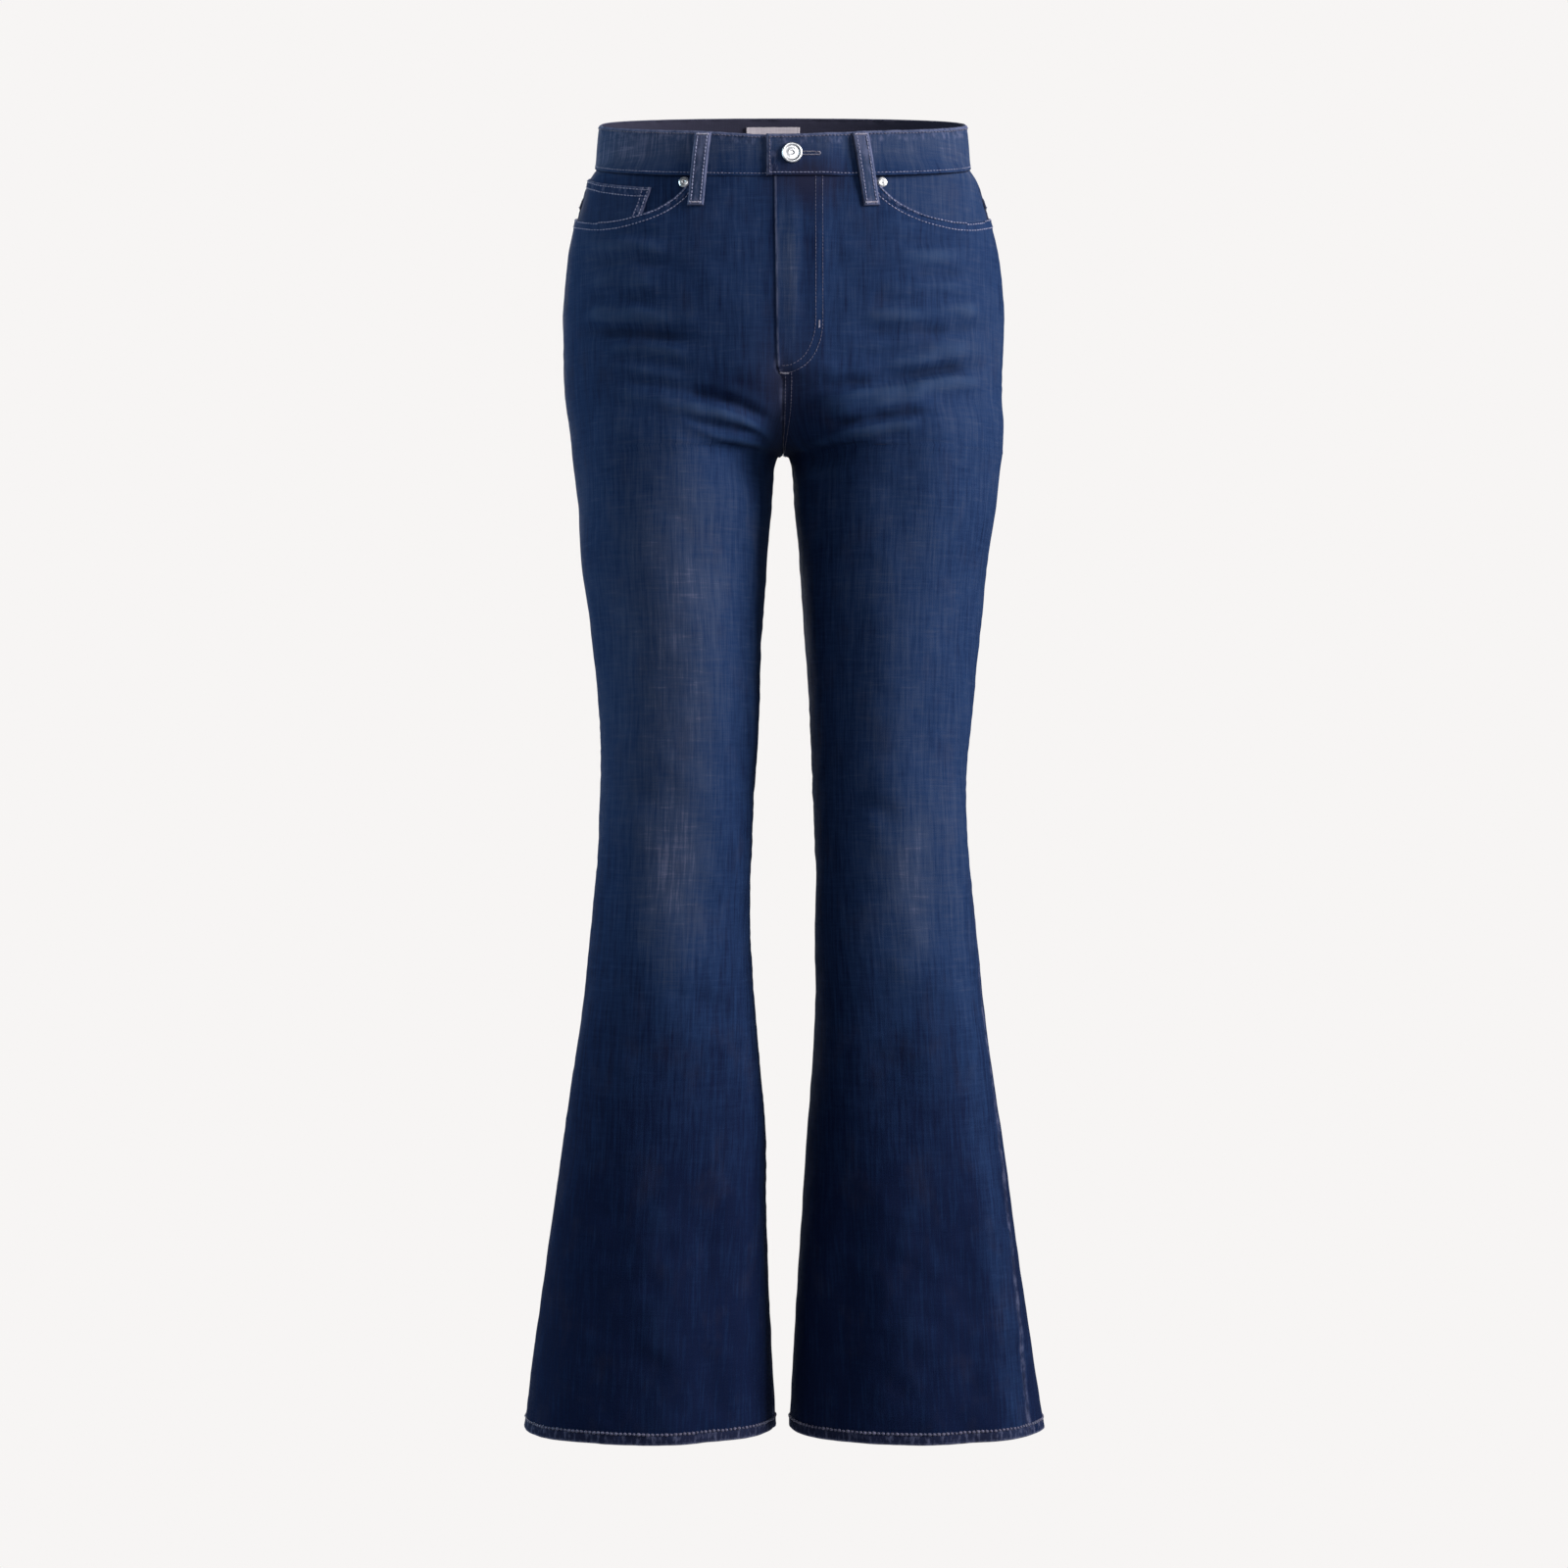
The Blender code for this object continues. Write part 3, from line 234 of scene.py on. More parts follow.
def riseY(z, startZ, outerY):
    drop = np.clip((startZ - z) / (startZ - crotchZ), 0.0, 1.0)
    rounding = form["riseRoundness"]
    return form["crotchY"] + (outerY - form["crotchY"]) * (1.0 - drop**rounding) ** (1.0 / rounding)


def halfSection(start, apex, side, ridge, full):
    # From the centre line or inseam over the leg's foremost or rearmost line to the side seam
    turns = np.linspace(0.0, math.pi / 2, 160)
    across = ridge * (1 - np.cos(turns)) + (1 - ridge) * turns * 2 / math.pi
    out = ridge * np.sin(turns) + (1 - ridge) * (1 - np.cos(2 * turns)) / 2
    x = np.concatenate([start[0] + (apex[0] - start[0]) * across,
                        apex[0] + (side[0] - apex[0]) * np.sin(turns) ** (2 / full)])
    y = np.concatenate([start[1] + (apex[1] - start[1]) * out,
                        side[1] + (apex[1] - side[1]) * np.abs(np.cos(turns)) ** (2 / full)])
    along = runOf(np.hypot(np.diff(x), np.diff(y)))
    even = np.linspace(0.0, along[-1], latticeSamples)
    return np.stack([np.interp(even, along, x), np.interp(even, along, y)], 1), along[-1]


def makeLattice(heights, isUpper):
    points, lengthsOf = [[], []], [[], []]
    for z, row in zip(heights, sectionAt(heights)):
        _, sideX, inseamX, frontY, backY, sideY, inseamY, full = row
        for k, (outerY, riseZ) in enumerate(((backY, form["backRiseZ"]), (frontY, form["frontRiseZ"]))):
            parting, ridge = 1.0, form["crotchRidge"]
            frontParting = float(smooth((form["frontRiseZ"] - z) / (form["frontRiseZ"] - crotchZ)))
            if isUpper:
                start = (0.0, float(riseY(z, riseZ, outerY)))
                parting = float(smooth((riseZ - z) / (riseZ - crotchZ)))
                ridge *= frontParting
            else:
                start = (inseamX, inseamY)
                ridge += (1 - ridge) * float(smooth((crotchZ - z) / (crotchZ - form["inseamFillZ"])))
            apex = (start[0] + ((start[0] + sideX) / 2 - start[0]) * parting, outerY)
            line, length = halfSection(start, apex, (sideX, sideY), ridge, full)
            points[k].append(line)
            lengthsOf[k].append(length)
    return {"z": heights, "points": np.array(points), "back": np.array(lengthsOf[0]),
            "front": np.array(lengthsOf[1])}


# Rows lie closest together at the crotch, where the centre lines swing in fastest
upper = makeLattice(crotchZ + (form["topZ"] - crotchZ) * np.linspace(0.0, 1.0, 420) ** 2, True)
lower = makeLattice(np.linspace(hemZ - 0.006, crotchZ, 900), False)


def readLattice(lattice, z, d):
    heights = lattice["z"]
    i = np.clip(np.searchsorted(heights, z) - 1, 0, len(heights) - 2)
    t = np.clip((z - heights[i]) / (heights[i + 1] - heights[i]), 0.0, 1.0)
    frontLength, backLength = (lattice[part][i] * (1 - t) + lattice[part][i + 1] * t
                               for part in ("front", "back"))
    onFront = d <= frontLength
    share = np.where(onFront, d / frontLength, (frontLength + backLength - d) / backLength)
    s = np.clip(share, 0.0, 1.0) * (latticeSamples - 1)
    j = np.minimum(s.astype(int), latticeSamples - 2)
    k, u, t = onFront.astype(int), (s - j)[..., None], t[..., None]
    grid = lattice["points"]
    low = grid[k, i, j] * (1 - u) + grid[k, i, j + 1] * u
    high = grid[k, i + 1, j] * (1 - u) + grid[k, i + 1, j + 1] * u
    return low * (1 - t) + high * t


def lengths(z):
    # Round half the body, or a whole leg: to the side seam, and all the way
    front, back = (np.where(z >= crotchZ, *(np.interp(z, lattice["z"], lattice[part])
                                            for lattice in (upper, lower))) for part in ("front", "back"))
    return front, front + back


def onForm(side, z, d):
    z, d = np.broadcast_arrays(np.asarray(z, float), np.asarray(d, float))
    isUpper = z >= crotchZ
    whole = lengths(z)[1]
    past = isUpper & ((d < 0) | (d > whole))
    folded = np.where(d < 0, -d, np.where(d > whole, 2 * whole - d, d))
    d = np.where(isUpper, folded, np.mod(d, whole))
    at = np.where(isUpper[..., None], readLattice(upper, z, d), readLattice(lower, z, d))
    x = np.where(past, -at[..., 0], at[..., 0])
    inner, outer = (np.interp(z, sectionHeights, sectionTable[:, k]) for k in (2, 1))
    share = np.clip((x - inner) / (outer - inner), 0.0, 1.0)
    moved = side * (x + halfGap)
    for leanSide, atOuter, height, reach, amount in leans:
        if leanSide == side:
            across = (share if atOuter else 1 - share) ** 2
            moved = moved + amount * np.exp(-(((z - height) / reach) ** 4)) * across
    return np.stack([moved, at[..., 1], z], -1)


def formNormal(side, z, d, probe=0.0012):
    z, d = np.broadcast_arrays(np.asarray(z, float), np.asarray(d, float))
    isUpper, whole = z >= crotchZ, lengths(z)[1]
    low, high = np.where(isUpper, z, z - probe), np.where(isUpper, z + probe, z)
    around = onForm(side, z, d + probe) - onForm(side, z, d - probe)
    up = onForm(side, high, d) - onForm(side, low, d)
    toFront, toBack = np.abs(d), np.abs(d - whole)
    onCentre = isUpper & (np.minimum(toFront, toBack) < probe)
    straight = np.where(toFront < toBack, 1.0, -1.0)[..., None] * np.array([side, 0.0, 0.0])
    around = np.where(onCentre[..., None], straight, around)
    up[..., 0] = np.where(onCentre, 0.0, up[..., 0])
    n = side * np.cross(around, up)
    n /= np.maximum(np.linalg.norm(n, axis=-1, keepdims=True), 1e-12)
    atCrotch = isUpper & (z - crotchZ < 0.0003) & (np.minimum(toFront, toBack) < 0.002)
    return np.where(atCrotch[..., None], np.array([0.0, 0.0, -1.0]), n)


def twist(side, z):
    turned = np.maximum(0.0, (form["twistStartZ"] - z) / (form["twistStartZ"] - hemZ))
    return form["twistAtHem"][side] * turned ** form["twistGathers"]


# Creases. Each row: side, on the back, half width, depth, height of the cloth beside it, lean of that
# towards the upper side, and the line in x (outwards) and z.
creaseList = [
    (right, False, 0.0052, 0.002, 0.001, -0.4, [(0.002, -0.244), (0.0393, -0.2295), (0.0673, -0.2212),
                                                (0.0962, -0.2135), (0.1274, -0.2075), (0.156, -0.201)]),
    (right, False, 0.0046, 0.0012, 0.0003, -0.4, [(0.001, -0.244), (0.02, -0.237), (0.04, -0.2292),
                                                  (0.06, -0.2234)]),
    (right, False, 0.0045, 0.0019, 0.001, -0.3, [(0.012, -0.2525), (0.0312, -0.2492), (0.0545, -0.246),
                                                 (0.085, -0.2412)]),
    (right, False, 0.0062, 0.0022, 0.0012, 0.3, [(0.174, -0.1637), (0.1194, -0.1693), (0.056, -0.1765)]),
    (right, False, 0.0064, 0.0016, 0.001, 0.2, [(0.174, -0.1052), (0.1274, -0.1084), (0.08, -0.116)]),
    (right, False, 0.006, 0.0005, 0.0003, -0.3, [(0.013, -0.279), (0.033, -0.28), (0.062, -0.286)]),
    (right, False, 0.011, 0.001, 0.0006, 0.0, [(0.17, -0.222), (0.125, -0.226), (0.09, -0.233)]),
    (left, False, 0.005, 0.0036, 0.0018, -0.4, [(0.0096, -0.2225), (0.0441, -0.213), (0.0785, -0.2068),
                                                (0.1154, -0.201), (0.145, -0.1955), (0.179, -0.1915)]),
    (left, False, 0.0046, 0.0029, 0.0014, -0.3, [(0.015, -0.2525), (0.04, -0.2462), (0.074, -0.24),
                                                 (0.1026, -0.235), (0.132, -0.234)]),
    (left, False, 0.006, 0.0022, 0.0012, 0.3, [(0.048, -0.1705), (0.1026, -0.1677), (0.14, -0.163),
                                               (0.179, -0.1575)]),
    (left, False, 0.0062, 0.0017, 0.001, 0.2, [(0.0785, -0.1236), (0.125, -0.119), (0.172, -0.112)]),
    (left, False, 0.006, 0.0015, 0.0008, -0.3, [(0.012, -0.268), (0.035, -0.268), (0.07, -0.271)]),
    (left, False, 0.01, 0.001, 0.0007, 0.0, [(0.177, -0.218), (0.135, -0.221), (0.1, -0.226)]),
    (right, False, 0.006, 0.0014, 0.0008, 0.1, [(0.164, -0.082), (0.125, -0.085), (0.082, -0.093)]),
    (right, False, 0.0055, 0.0015, 0.0009, 0.1, [(0.17, -0.135), (0.135, -0.1385), (0.09, -0.146)]),
    (right, False, 0.0052, 0.0014, 0.0008, 0.0, [(0.15, -0.186), (0.115, -0.191), (0.07, -0.201)]),
    (left, False, 0.0058, 0.0014, 0.0008, 0.1, [(0.06, -0.096), (0.105, -0.093), (0.155, -0.086)]),
    (left, False, 0.0055, 0.0016, 0.0009, 0.1, [(0.06, -0.148), (0.11, -0.143), (0.168, -0.135)]),
    (left, False, 0.005, 0.0014, 0.0008, 0.0, [(0.035, -0.196), (0.08, -0.189), (0.13, -0.18)]),
    # knees and calves
    (right, False, 0.013, 0.0013, 0.0008, 0.0, [(0.145, -0.542), (0.115, -0.548), (0.08, -0.558)]),
    (right, False, 0.014, 0.0014, 0.0009, 0.0, [(0.04, -0.73), (0.065, -0.72), (0.1, -0.718)]),
    (left, False, 0.013, 0.0014, 0.0008, 0.0, [(0.038, -0.55), (0.07, -0.558), (0.105, -0.57)]),
    (left, False, 0.015, 0.0013, 0.0009, 0.0, [(0.15, -0.735), (0.12, -0.725), (0.085, -0.728)]),
    (left, False, 0.016, 0.002, 0.001, 0.0, [(0.052, -0.86), (0.056, -0.95), (0.05, -1.084)]),
    (left, False, 0.018, 0.0022, 0.0012, 0.0, [(0.142, -0.83), (0.152, -0.93), (0.16, -1.084)]),
    (right, False, 0.016, 0.002, 0.001, 0.0, [(0.062, -0.85), (0.06, -0.95), (0.056, -1.084)]),
    (right, False, 0.018, 0.002, 0.0012, 0.0, [(0.135, -0.82), (0.148, -0.93), (0.156, -1.084)]),
    # back: under the seat, across the seat, and behind the knees
    (right, True, 0.007, 0.003, 0.0015, -0.3, [(0.02, -0.248), (0.055, -0.246), (0.095, -0.238),
                                               (0.135, -0.225)]),
    (right, True, 0.008, 0.0022, 0.0012, -0.2, [(0.018, -0.275), (0.055, -0.278), (0.095, -0.276)]),
    (right, True, 0.009, 0.0014, 0.0009, 0.0, [(0.175, -0.202), (0.135, -0.206), (0.095, -0.214)]),
    (left, True, 0.007, 0.003, 0.0015, -0.3, [(0.022, -0.252), (0.06, -0.248), (0.1, -0.237), (0.142, -0.221)]),
    (left, True, 0.008, 0.0023, 0.0012, -0.2, [(0.018, -0.28), (0.06, -0.284), (0.102, -0.28)]),
    (left, True, 0.0095, 0.0014, 0.0009, 0.0, [(0.175, -0.198), (0.138, -0.204), (0.1, -0.213)]),
    (right, True, 0.0085, 0.0024, 0.0013, 0.2, [(0.042, -0.57), (0.08, -0.578), (0.125, -0.57)]),
    (right, True, 0.008, 0.002, 0.0011, -0.1, [(0.142, -0.596), (0.105, -0.604), (0.062, -0.598)]),
    (right, True, 0.009, 0.0018, 0.001, 0.0, [(0.045, -0.63), (0.08, -0.636), (0.12, -0.628)]),
    (left, True, 0.0085, 0.0024, 0.0013, 0.2, [(0.138, -0.564), (0.095, -0.576), (0.052, -0.574)]),
    (left, True, 0.008, 0.0021, 0.0011, -0.1, [(0.045, -0.602), (0.085, -0.608), (0.13, -0.599)]),
    (left, True, 0.009, 0.0017, 0.001, 0.0, [(0.14, -0.628), (0.098, -0.638), (0.058, -0.633)]),
    (right, True, 0.017, 0.002, 0.001, 0.0, [(0.08, -0.84), (0.082, -0.95), (0.078, -1.084)]),
    (left, True, 0.017, 0.002, 0.001, 0.0, [(0.105, -0.84), (0.112, -0.95), (0.118, -1.084)]),
]
# The two widest drag lines: from and to in x and z, depth and half width
dragList = [(0.012, -0.222, 0.16, -0.186, 0.0032, 0.015), (-0.014, -0.229, -0.125, -0.199, 0.0032, 0.015)]


def distanceAt(z, x, onBack):
    lattice = upper if z >= crotchZ else lower
    i = int(np.clip(np.searchsorted(lattice["z"], z), 0, len(lattice["z"]) - 1))
    length = lattice["back" if onBack else "front"][i]
    d = np.interp(x, lattice["points"][0 if onBack else 1, i, :, 0], np.linspace(0.0, length, latticeSamples))
    return float(lattice["front"][i] + lattice["back"][i] - d if onBack else d)


def roundedLine(points, steps=5):
    # A curve through the points
    padded = np.vstack([2 * points[0] - points[1], points, 2 * points[-1] - points[-2]])
    line = []
    for a, b, c, e in zip(padded, padded[1:], padded[2:], padded[3:]):
        for t in np.arange(steps) / steps:
            line.append(0.5 * (2 * b + (c - a) * t + (2 * a - 5 * b + 4 * c - e) * t**2
                               + (3 * b - a - 3 * c + e) * t**3))
    return np.array([*line, points[-1]])


creases = []
for side, onBack, halfWidth, depth, ridge, lean, line in creaseList:
    places = np.array([(distanceAt(z, x, onBack), z) for x, z in line])
    creases.append((side, halfWidth, depth, ridge, lean, roundedLine(places)))


def besideLine(d, z, line):
    best, along, lineZ = np.full(d.shape, 1e3), np.zeros(d.shape), np.zeros(d.shape)
    steps = np.linalg.norm(np.diff(line, axis=0), axis=1)
    run = runOf(steps)
    for p, q, start, length in zip(line, line[1:], run, steps):
        t = np.clip(((d - p[0]) * (q[0] - p[0]) + (z - p[1]) * (q[1] - p[1])) / length**2, 0.0, 1.0)
        away = np.hypot(d - p[0] - t * (q[0] - p[0]), z - p[1] - t * (q[1] - p[1]))
        nearer = away < best
        best = np.where(nearer, away, best)
        along = np.where(nearer, (start + t * length) / run[-1], along)
        lineZ = np.where(nearer, p[1] + t * (q[1] - p[1]), lineZ)
    return best, along, z >= lineZ


def dragDepth(x, z):
    sunk = np.zeros(np.shape(x))
    for fromX, fromZ, toX, toZ, depth, halfWidth in dragList:
        ax, az = toX - fromX, toZ - fromZ
        length = math.hypot(ax, az)
        t = ((x - fromX) * ax + (z - fromZ) * az) / length**2
        away = np.abs((x - fromX) * az - (z - fromZ) * ax) / length
        deep = smooth((t + 0.1) / 0.25) * smooth((1.1 - t) / 0.6)
        sunk += depth * np.exp(-((away / halfWidth) ** 2)) * deep
    return sunk


def waves(place, seed, count, shortest, longest, upright=1.0):
    # Slow uneven waves through space, the same for every layer of cloth
    chance = np.random.default_rng(seed)
    total = np.zeros(place.shape[:-1])
    for _ in range(count):
        direction = chance.normal(size=3) * (1.0, 1.0, 1.0 / upright)
        direction /= np.linalg.norm(direction)
        length = chance.uniform(shortest, longest)
        total += np.sin(place @ direction * (math.tau / length) + chance.uniform(0.0, math.tau))
    return total / math.sqrt(count / 2)


swell = {
    "hips": 0.0006, "legs": 0.0009, "hem": 0.0009,  # how far the cloth waves in and out
    "calmAtWaist": 0.15, "calmAtCrotch": 0.2, "fine": 0.00013,
}
# How a crease fades in and out along its line, where the cloth stands up beside it (in half widths), how
# much paler it is there, and from what width and depth on it counts as sharp
creaseShape = {"uneven": 0.3, "ends": 0.3, "besideAt": 2.4, "besideWidth": 1.4, "rubbed": 0.55,
               "sharpWidth": 0.0085, "sharpDepth": 0.0024}


def relief(side, place, d, z):
    # How far creases and waves move the cloth out of the form, and the crease mark: painted shade with unfaded
    # dye in the troughs, rubbed paler beside them
    whole = lengths(z)[1]
    d = np.where(z < crotchZ, np.mod(d, whole), d)
    mark, lift, shape = np.zeros(d.shape), np.zeros(d.shape), creaseShape
    uneven = np.clip(1.0 + shape["uneven"] * waves(place, 13, 9, 0.022, 0.06), 0.5, 1.5)
    for creaseSide, halfWidth, depth, ridge, lean, line in creases:
        if creaseSide != side:
            continue
        reach = 5 * halfWidth
        low, high = line.min(0) - reach, line.max(0) + reach
        near = (d > low[0]) & (d < high[0]) & (z > low[1]) & (z < high[1])
        if not near.any():
            continue
        away, along, isAbove = besideLine(d[near], z[near], line)
        ending = 1.0 if line[-1, 1] < hemZ + 0.01 else smooth((1.0 - along) / shape["ends"])
        deep = smooth(along / shape["ends"]) * ending * uneven[near]
        trough = np.exp(-((away / halfWidth) ** 2)) * deep
        middle, width = shape["besideAt"] * halfWidth, shape["besideWidth"] * halfWidth
        beside = np.exp(-(((away - middle) / width) ** 2)) * deep
        beside *= np.where(isAbove, 1.0 + lean, 1.0 - lean)
        lift[near] += ridge * beside - depth * trough
        sharp = (min(1.0, shape["sharpWidth"] / halfWidth) * min(1.0, depth / shape["sharpDepth"])) ** 2
        # The mark is negative in the trough, painted shade with unfaded dye, and positive beside it, where the
        # cloth is rubbed paler
        mark[near] += (shape["rubbed"] * beside - trough) * sharp
    onFront = (place[..., 1] < 0) & (z > -0.3) & (z < -0.16)
    lift -= np.where(onFront, dragDepth(place[..., 0], z), 0.0)
    calm = swell["calmAtWaist"] + (1 - swell["calmAtWaist"]) * smooth((-0.035 - z) / 0.06)
    crotchCalm = 1.0 - ((1 - swell["calmAtCrotch"]) * np.exp(-((place[..., 0] / 0.022) ** 2))
                        * smooth((z + 0.42) / 0.08))
    size = np.interp(-z, (0.05, 0.3, 0.6, 1.084),
                     (swell["hips"], swell["hips"] * 1.4, swell["legs"], swell["hem"]))
    waving = size * waves(place, 11, 14, 0.055, 0.15, 2.6)
    waving += swell["fine"] * waves(place, 12, 16, 0.016, 0.036, 1.6)
    return lift + waving * calm * crotchCalm, mark


def onCloth(side, z, d, out=0.0):
    z, d = np.broadcast_arrays(np.asarray(z, float), np.asarray(d, float))
    place = onForm(side, z, d)
    lift, _ = relief(side, place, d, z)
    return place + formNormal(side, z, d) * (out + lift)[..., None]


# The waist, the pocket mouths and the yoke, as lines on the form
band = {
    "height": 0.036, "dip": 0.0028, "dipWidth": 0.08, "cloth": 0.0024, "proud": 0.0008, "topZ": 0.018,
    "tilt": 0.287, "overlap": 0.013, "underlap": 0.03, "full": 0.034, "fade": 0.052,
    "gap": 0.00006,
}
band["raise"] = band["cloth"] + form["seamGap"]
seamBaseZ = band["topZ"] - band["height"]
settling = 8  # rounds in which a height that depends on its own place comes to rest


def waistZ(dOf, above):
    z = seamBaseZ + 0.0 * above
    for _ in range(settling):
        z = seamBaseZ + band["tilt"] * onForm(left, z, dOf(z))[..., 1] + above
    return z


def fromFront(d, above=0.0):
    return waistZ(lambda z: d, above + 0.0 * np.asarray(d, float))


def fromBack(d, above=0.0):
    return waistZ(lambda z: lengths(z)[1] - d, above + 0.0 * np.asarray(d, float))


def roundTheWaist(z, share):
    # 0 centre front, 1 side seam, 2 centre back
    front, whole = lengths(z)
    return np.where(share <= 1.0, share * front, front + (share - 1.0) * (whole - front))


mouth = {"start": 0.088, "depth": 0.0485, "square": 2.3}
sideWaistZ = float(waistZ(lambda z: lengths(z)[0], np.array(0.0)))
mouthEndZ = sideWaistZ - mouth["depth"]
mouthAcross = float(lengths(np.array(mouthEndZ))[0]) - mouth["start"]


def mouthReach(d, z):
    # 0 at the side of the waist, 1 on the pocket mouth and more past it
    front = lengths(z)[0]
    across = np.maximum((front - d) / mouthAcross, 0.0)
    down = np.maximum((fromFront(np.minimum(d, front)) - z) / mouth["depth"], 0.0)
    return (across ** mouth["square"] + down ** mouth["square"]) ** (1 / mouth["square"])


def mouthPoint(share, inset):
    turns = np.linspace(0.0, math.pi / 2, 400)
    acrossOf = np.abs(np.cos(turns)) ** (2 / mouth["square"])
    downOf = np.sin(turns) ** (2 / mouth["square"])
    run = runOf(np.hypot(np.diff(acrossOf) * mouthAcross, np.diff(downOf) * mouth["depth"]))
    turn = np.interp(np.asarray(share, float) * run[-1], run, turns)
    across = mouthAcross * np.interp(turn, turns, acrossOf)
    down = mouth["depth"] * np.interp(turn, turns, downOf)
    z = sideWaistZ - down
    for _ in range(settling):
        z = fromFront(lengths(z)[0] - across) - down
    return lengths(z)[0] - across - inset * np.cos(turn), z - inset * np.sin(turn)


yokeDrop = {"atSide": 0.04, "atCentre": 0.076}


def yokePoint(share):
    share = np.asarray(share, float)
    down = yokeDrop["atSide"] + (yokeDrop["atCentre"] - yokeDrop["atSide"]) * share
    z = sideWaistZ - down
    for _ in range(settling):
        d = roundTheWaist(z, 1.0 + share)
        z = fromFront(d) - down
    return d, z


print("form ready")


# Materials. Every denim colour is mixed from these.
denimTones = {
    "raw": (0.0027, 0.0074, 0.033),
    "blue": (0.0098, 0.0262, 0.08),
    "washed": (0.033, 0.051, 0.108),
    "worn": (0.13, 0.142, 0.24),
    "weft": (0.032, 0.031, 0.054),
    # inside: the back face of the cloth, kept dark as painted shade
    "inside": (0.033, 0.033, 0.056),
    # trough: crease troughs darkened as painted shade with unfaded dye; also the dark puckers along seams
    "trough": (0.002, 0.0042, 0.016),
    "ridge": (0.02, 0.048, 0.115),
}


def mathOf(tree, operation, *values, clamp=False):
    node = addNode(tree, "ShaderNodeMath", dict(enumerate(values)), operation=operation, use_clamp=clamp)
    return node.outputs[0]


def mixOf(tree, factor, a, b):
    a, b = ((*value, 1.0) if isinstance(value, tuple) else value for value in (a, b))
    return addNode(tree, "ShaderNodeMix", {0: factor, 6: a, 7: b}, data_type="RGBA").outputs[2]


def stretched(tree, vector, by, moved=(0.0, 0.0, 0.0)):
    values = {0: vector, 1: by, 2: moved}
    return addNode(tree, "ShaderNodeVectorMath", values, operation="MULTIPLY_ADD").outputs[0]


def noiseOf(tree, vector, scale=1.0, detail=2.0, rough=0.5):
    values = {"Vector": vector, "Scale": scale, "Detail": detail, "Roughness": rough}
    return addNode(tree, "ShaderNodeTexNoise", values).outputs[0]


def rangeOf(tree, value, fromMin, fromMax, toMin=0.0, toMax=1.0, easing="SMOOTHSTEP"):
    values = dict(enumerate((value, fromMin, fromMax, toMin, toMax)))
    return addNode(tree, "ShaderNodeMapRange", values, interpolation_type=easing).outputs[0]


def attributeOf(tree, name):
    return addNode(tree, "ShaderNodeAttribute", attribute_name=name).outputs["Fac"]


def newGroup(name, ins, outs, kind="ShaderNodeTree"):
    tree = bpy.data.node_groups.new(name, kind)
    for label, holds, value in ins:
        socket = tree.interface.new_socket(label, in_out="INPUT", socket_type="NodeSocket" + holds)
        if value is not None:
            socket.default_value = value
    for label, holds in outs:
        tree.interface.new_socket(label, in_out="OUTPUT", socket_type="NodeSocket" + holds)
    return tree, addNode(tree, "NodeGroupInput").outputs, addNode(tree, "NodeGroupOutput").inputs


def placeGroup(tree, group, **values):
    return addNode(tree, "ShaderNodeGroup", values, node_tree=group).outputs


def makeWeaveGroup():
    # Warp runs down the cloth and weft across it; both have thick and thin places
    tree, ins, outs = newGroup(
        "wovenThreads", [("Place", "Vector", None), ("Slub", "Float", 0.5), ("Rib", "Float", 0.0009)],
        [(label, "Float") for label in ("Warp", "Weft", "Cloud", "Pale Slub", "Height")])
    place = ins["Place"]

    def blended(a, b, share):
        return mathOf(tree, "MULTIPLY_ADD", mathOf(tree, "SUBTRACT", b, a), share, a)

    warps, wefts = [], []
    for fine, long, moved in ((1250.0, 80.0, 0.0), (560.0, 46.0, 3.1), (300.0, 32.0, 7.7)):
        warps.append(stretched(tree, place, (fine, 0.55 * long, 0.0), (moved, 0.0, 0.0)))
        wefts.append(stretched(tree, place, (long, 0.9 * fine, 0.0), (0.0, 9.7 + moved, 0.0)))
    warps, wefts = ([noiseOf(tree, spot, rough=0.6) for spot in spots] for spots in (warps, wefts))
    warp, weft = (blended(noises[0], noises[1], ins["Slub"]) for noises in (warps, wefts))
    for label, thread, noises in (("Warp", warp, warps), ("Weft", weft, wefts)):
        feed(tree, outs[label], rangeOf(tree, blended(thread, noises[2], 0.42), 0.38, 0.62, easing="LINEAR"))
    feed(tree, outs["Pale Slub"], rangeOf(tree, wefts[2], 0.6, 0.72))
    feed(tree, outs["Cloud"], noiseOf(tree, stretched(tree, place, (34.0, 22.0, 0.0)), detail=4.0, rough=0.65))
    split = addNode(tree, "ShaderNodeSeparateXYZ", {0: place})
    slant = mathOf(tree, "MULTIPLY_ADD", split.outputs[1], 1.15, split.outputs[0])
    rib = mathOf(tree, "SINE", mathOf(tree, "MULTIPLY", mathOf(tree, "DIVIDE", slant, ins["Rib"]), math.tau))
    feed(tree, outs["Height"], mathOf(tree, "MULTIPLY_ADD", rib, 0.16, mathOf(tree, "ADD", warp, weft)))
    return tree


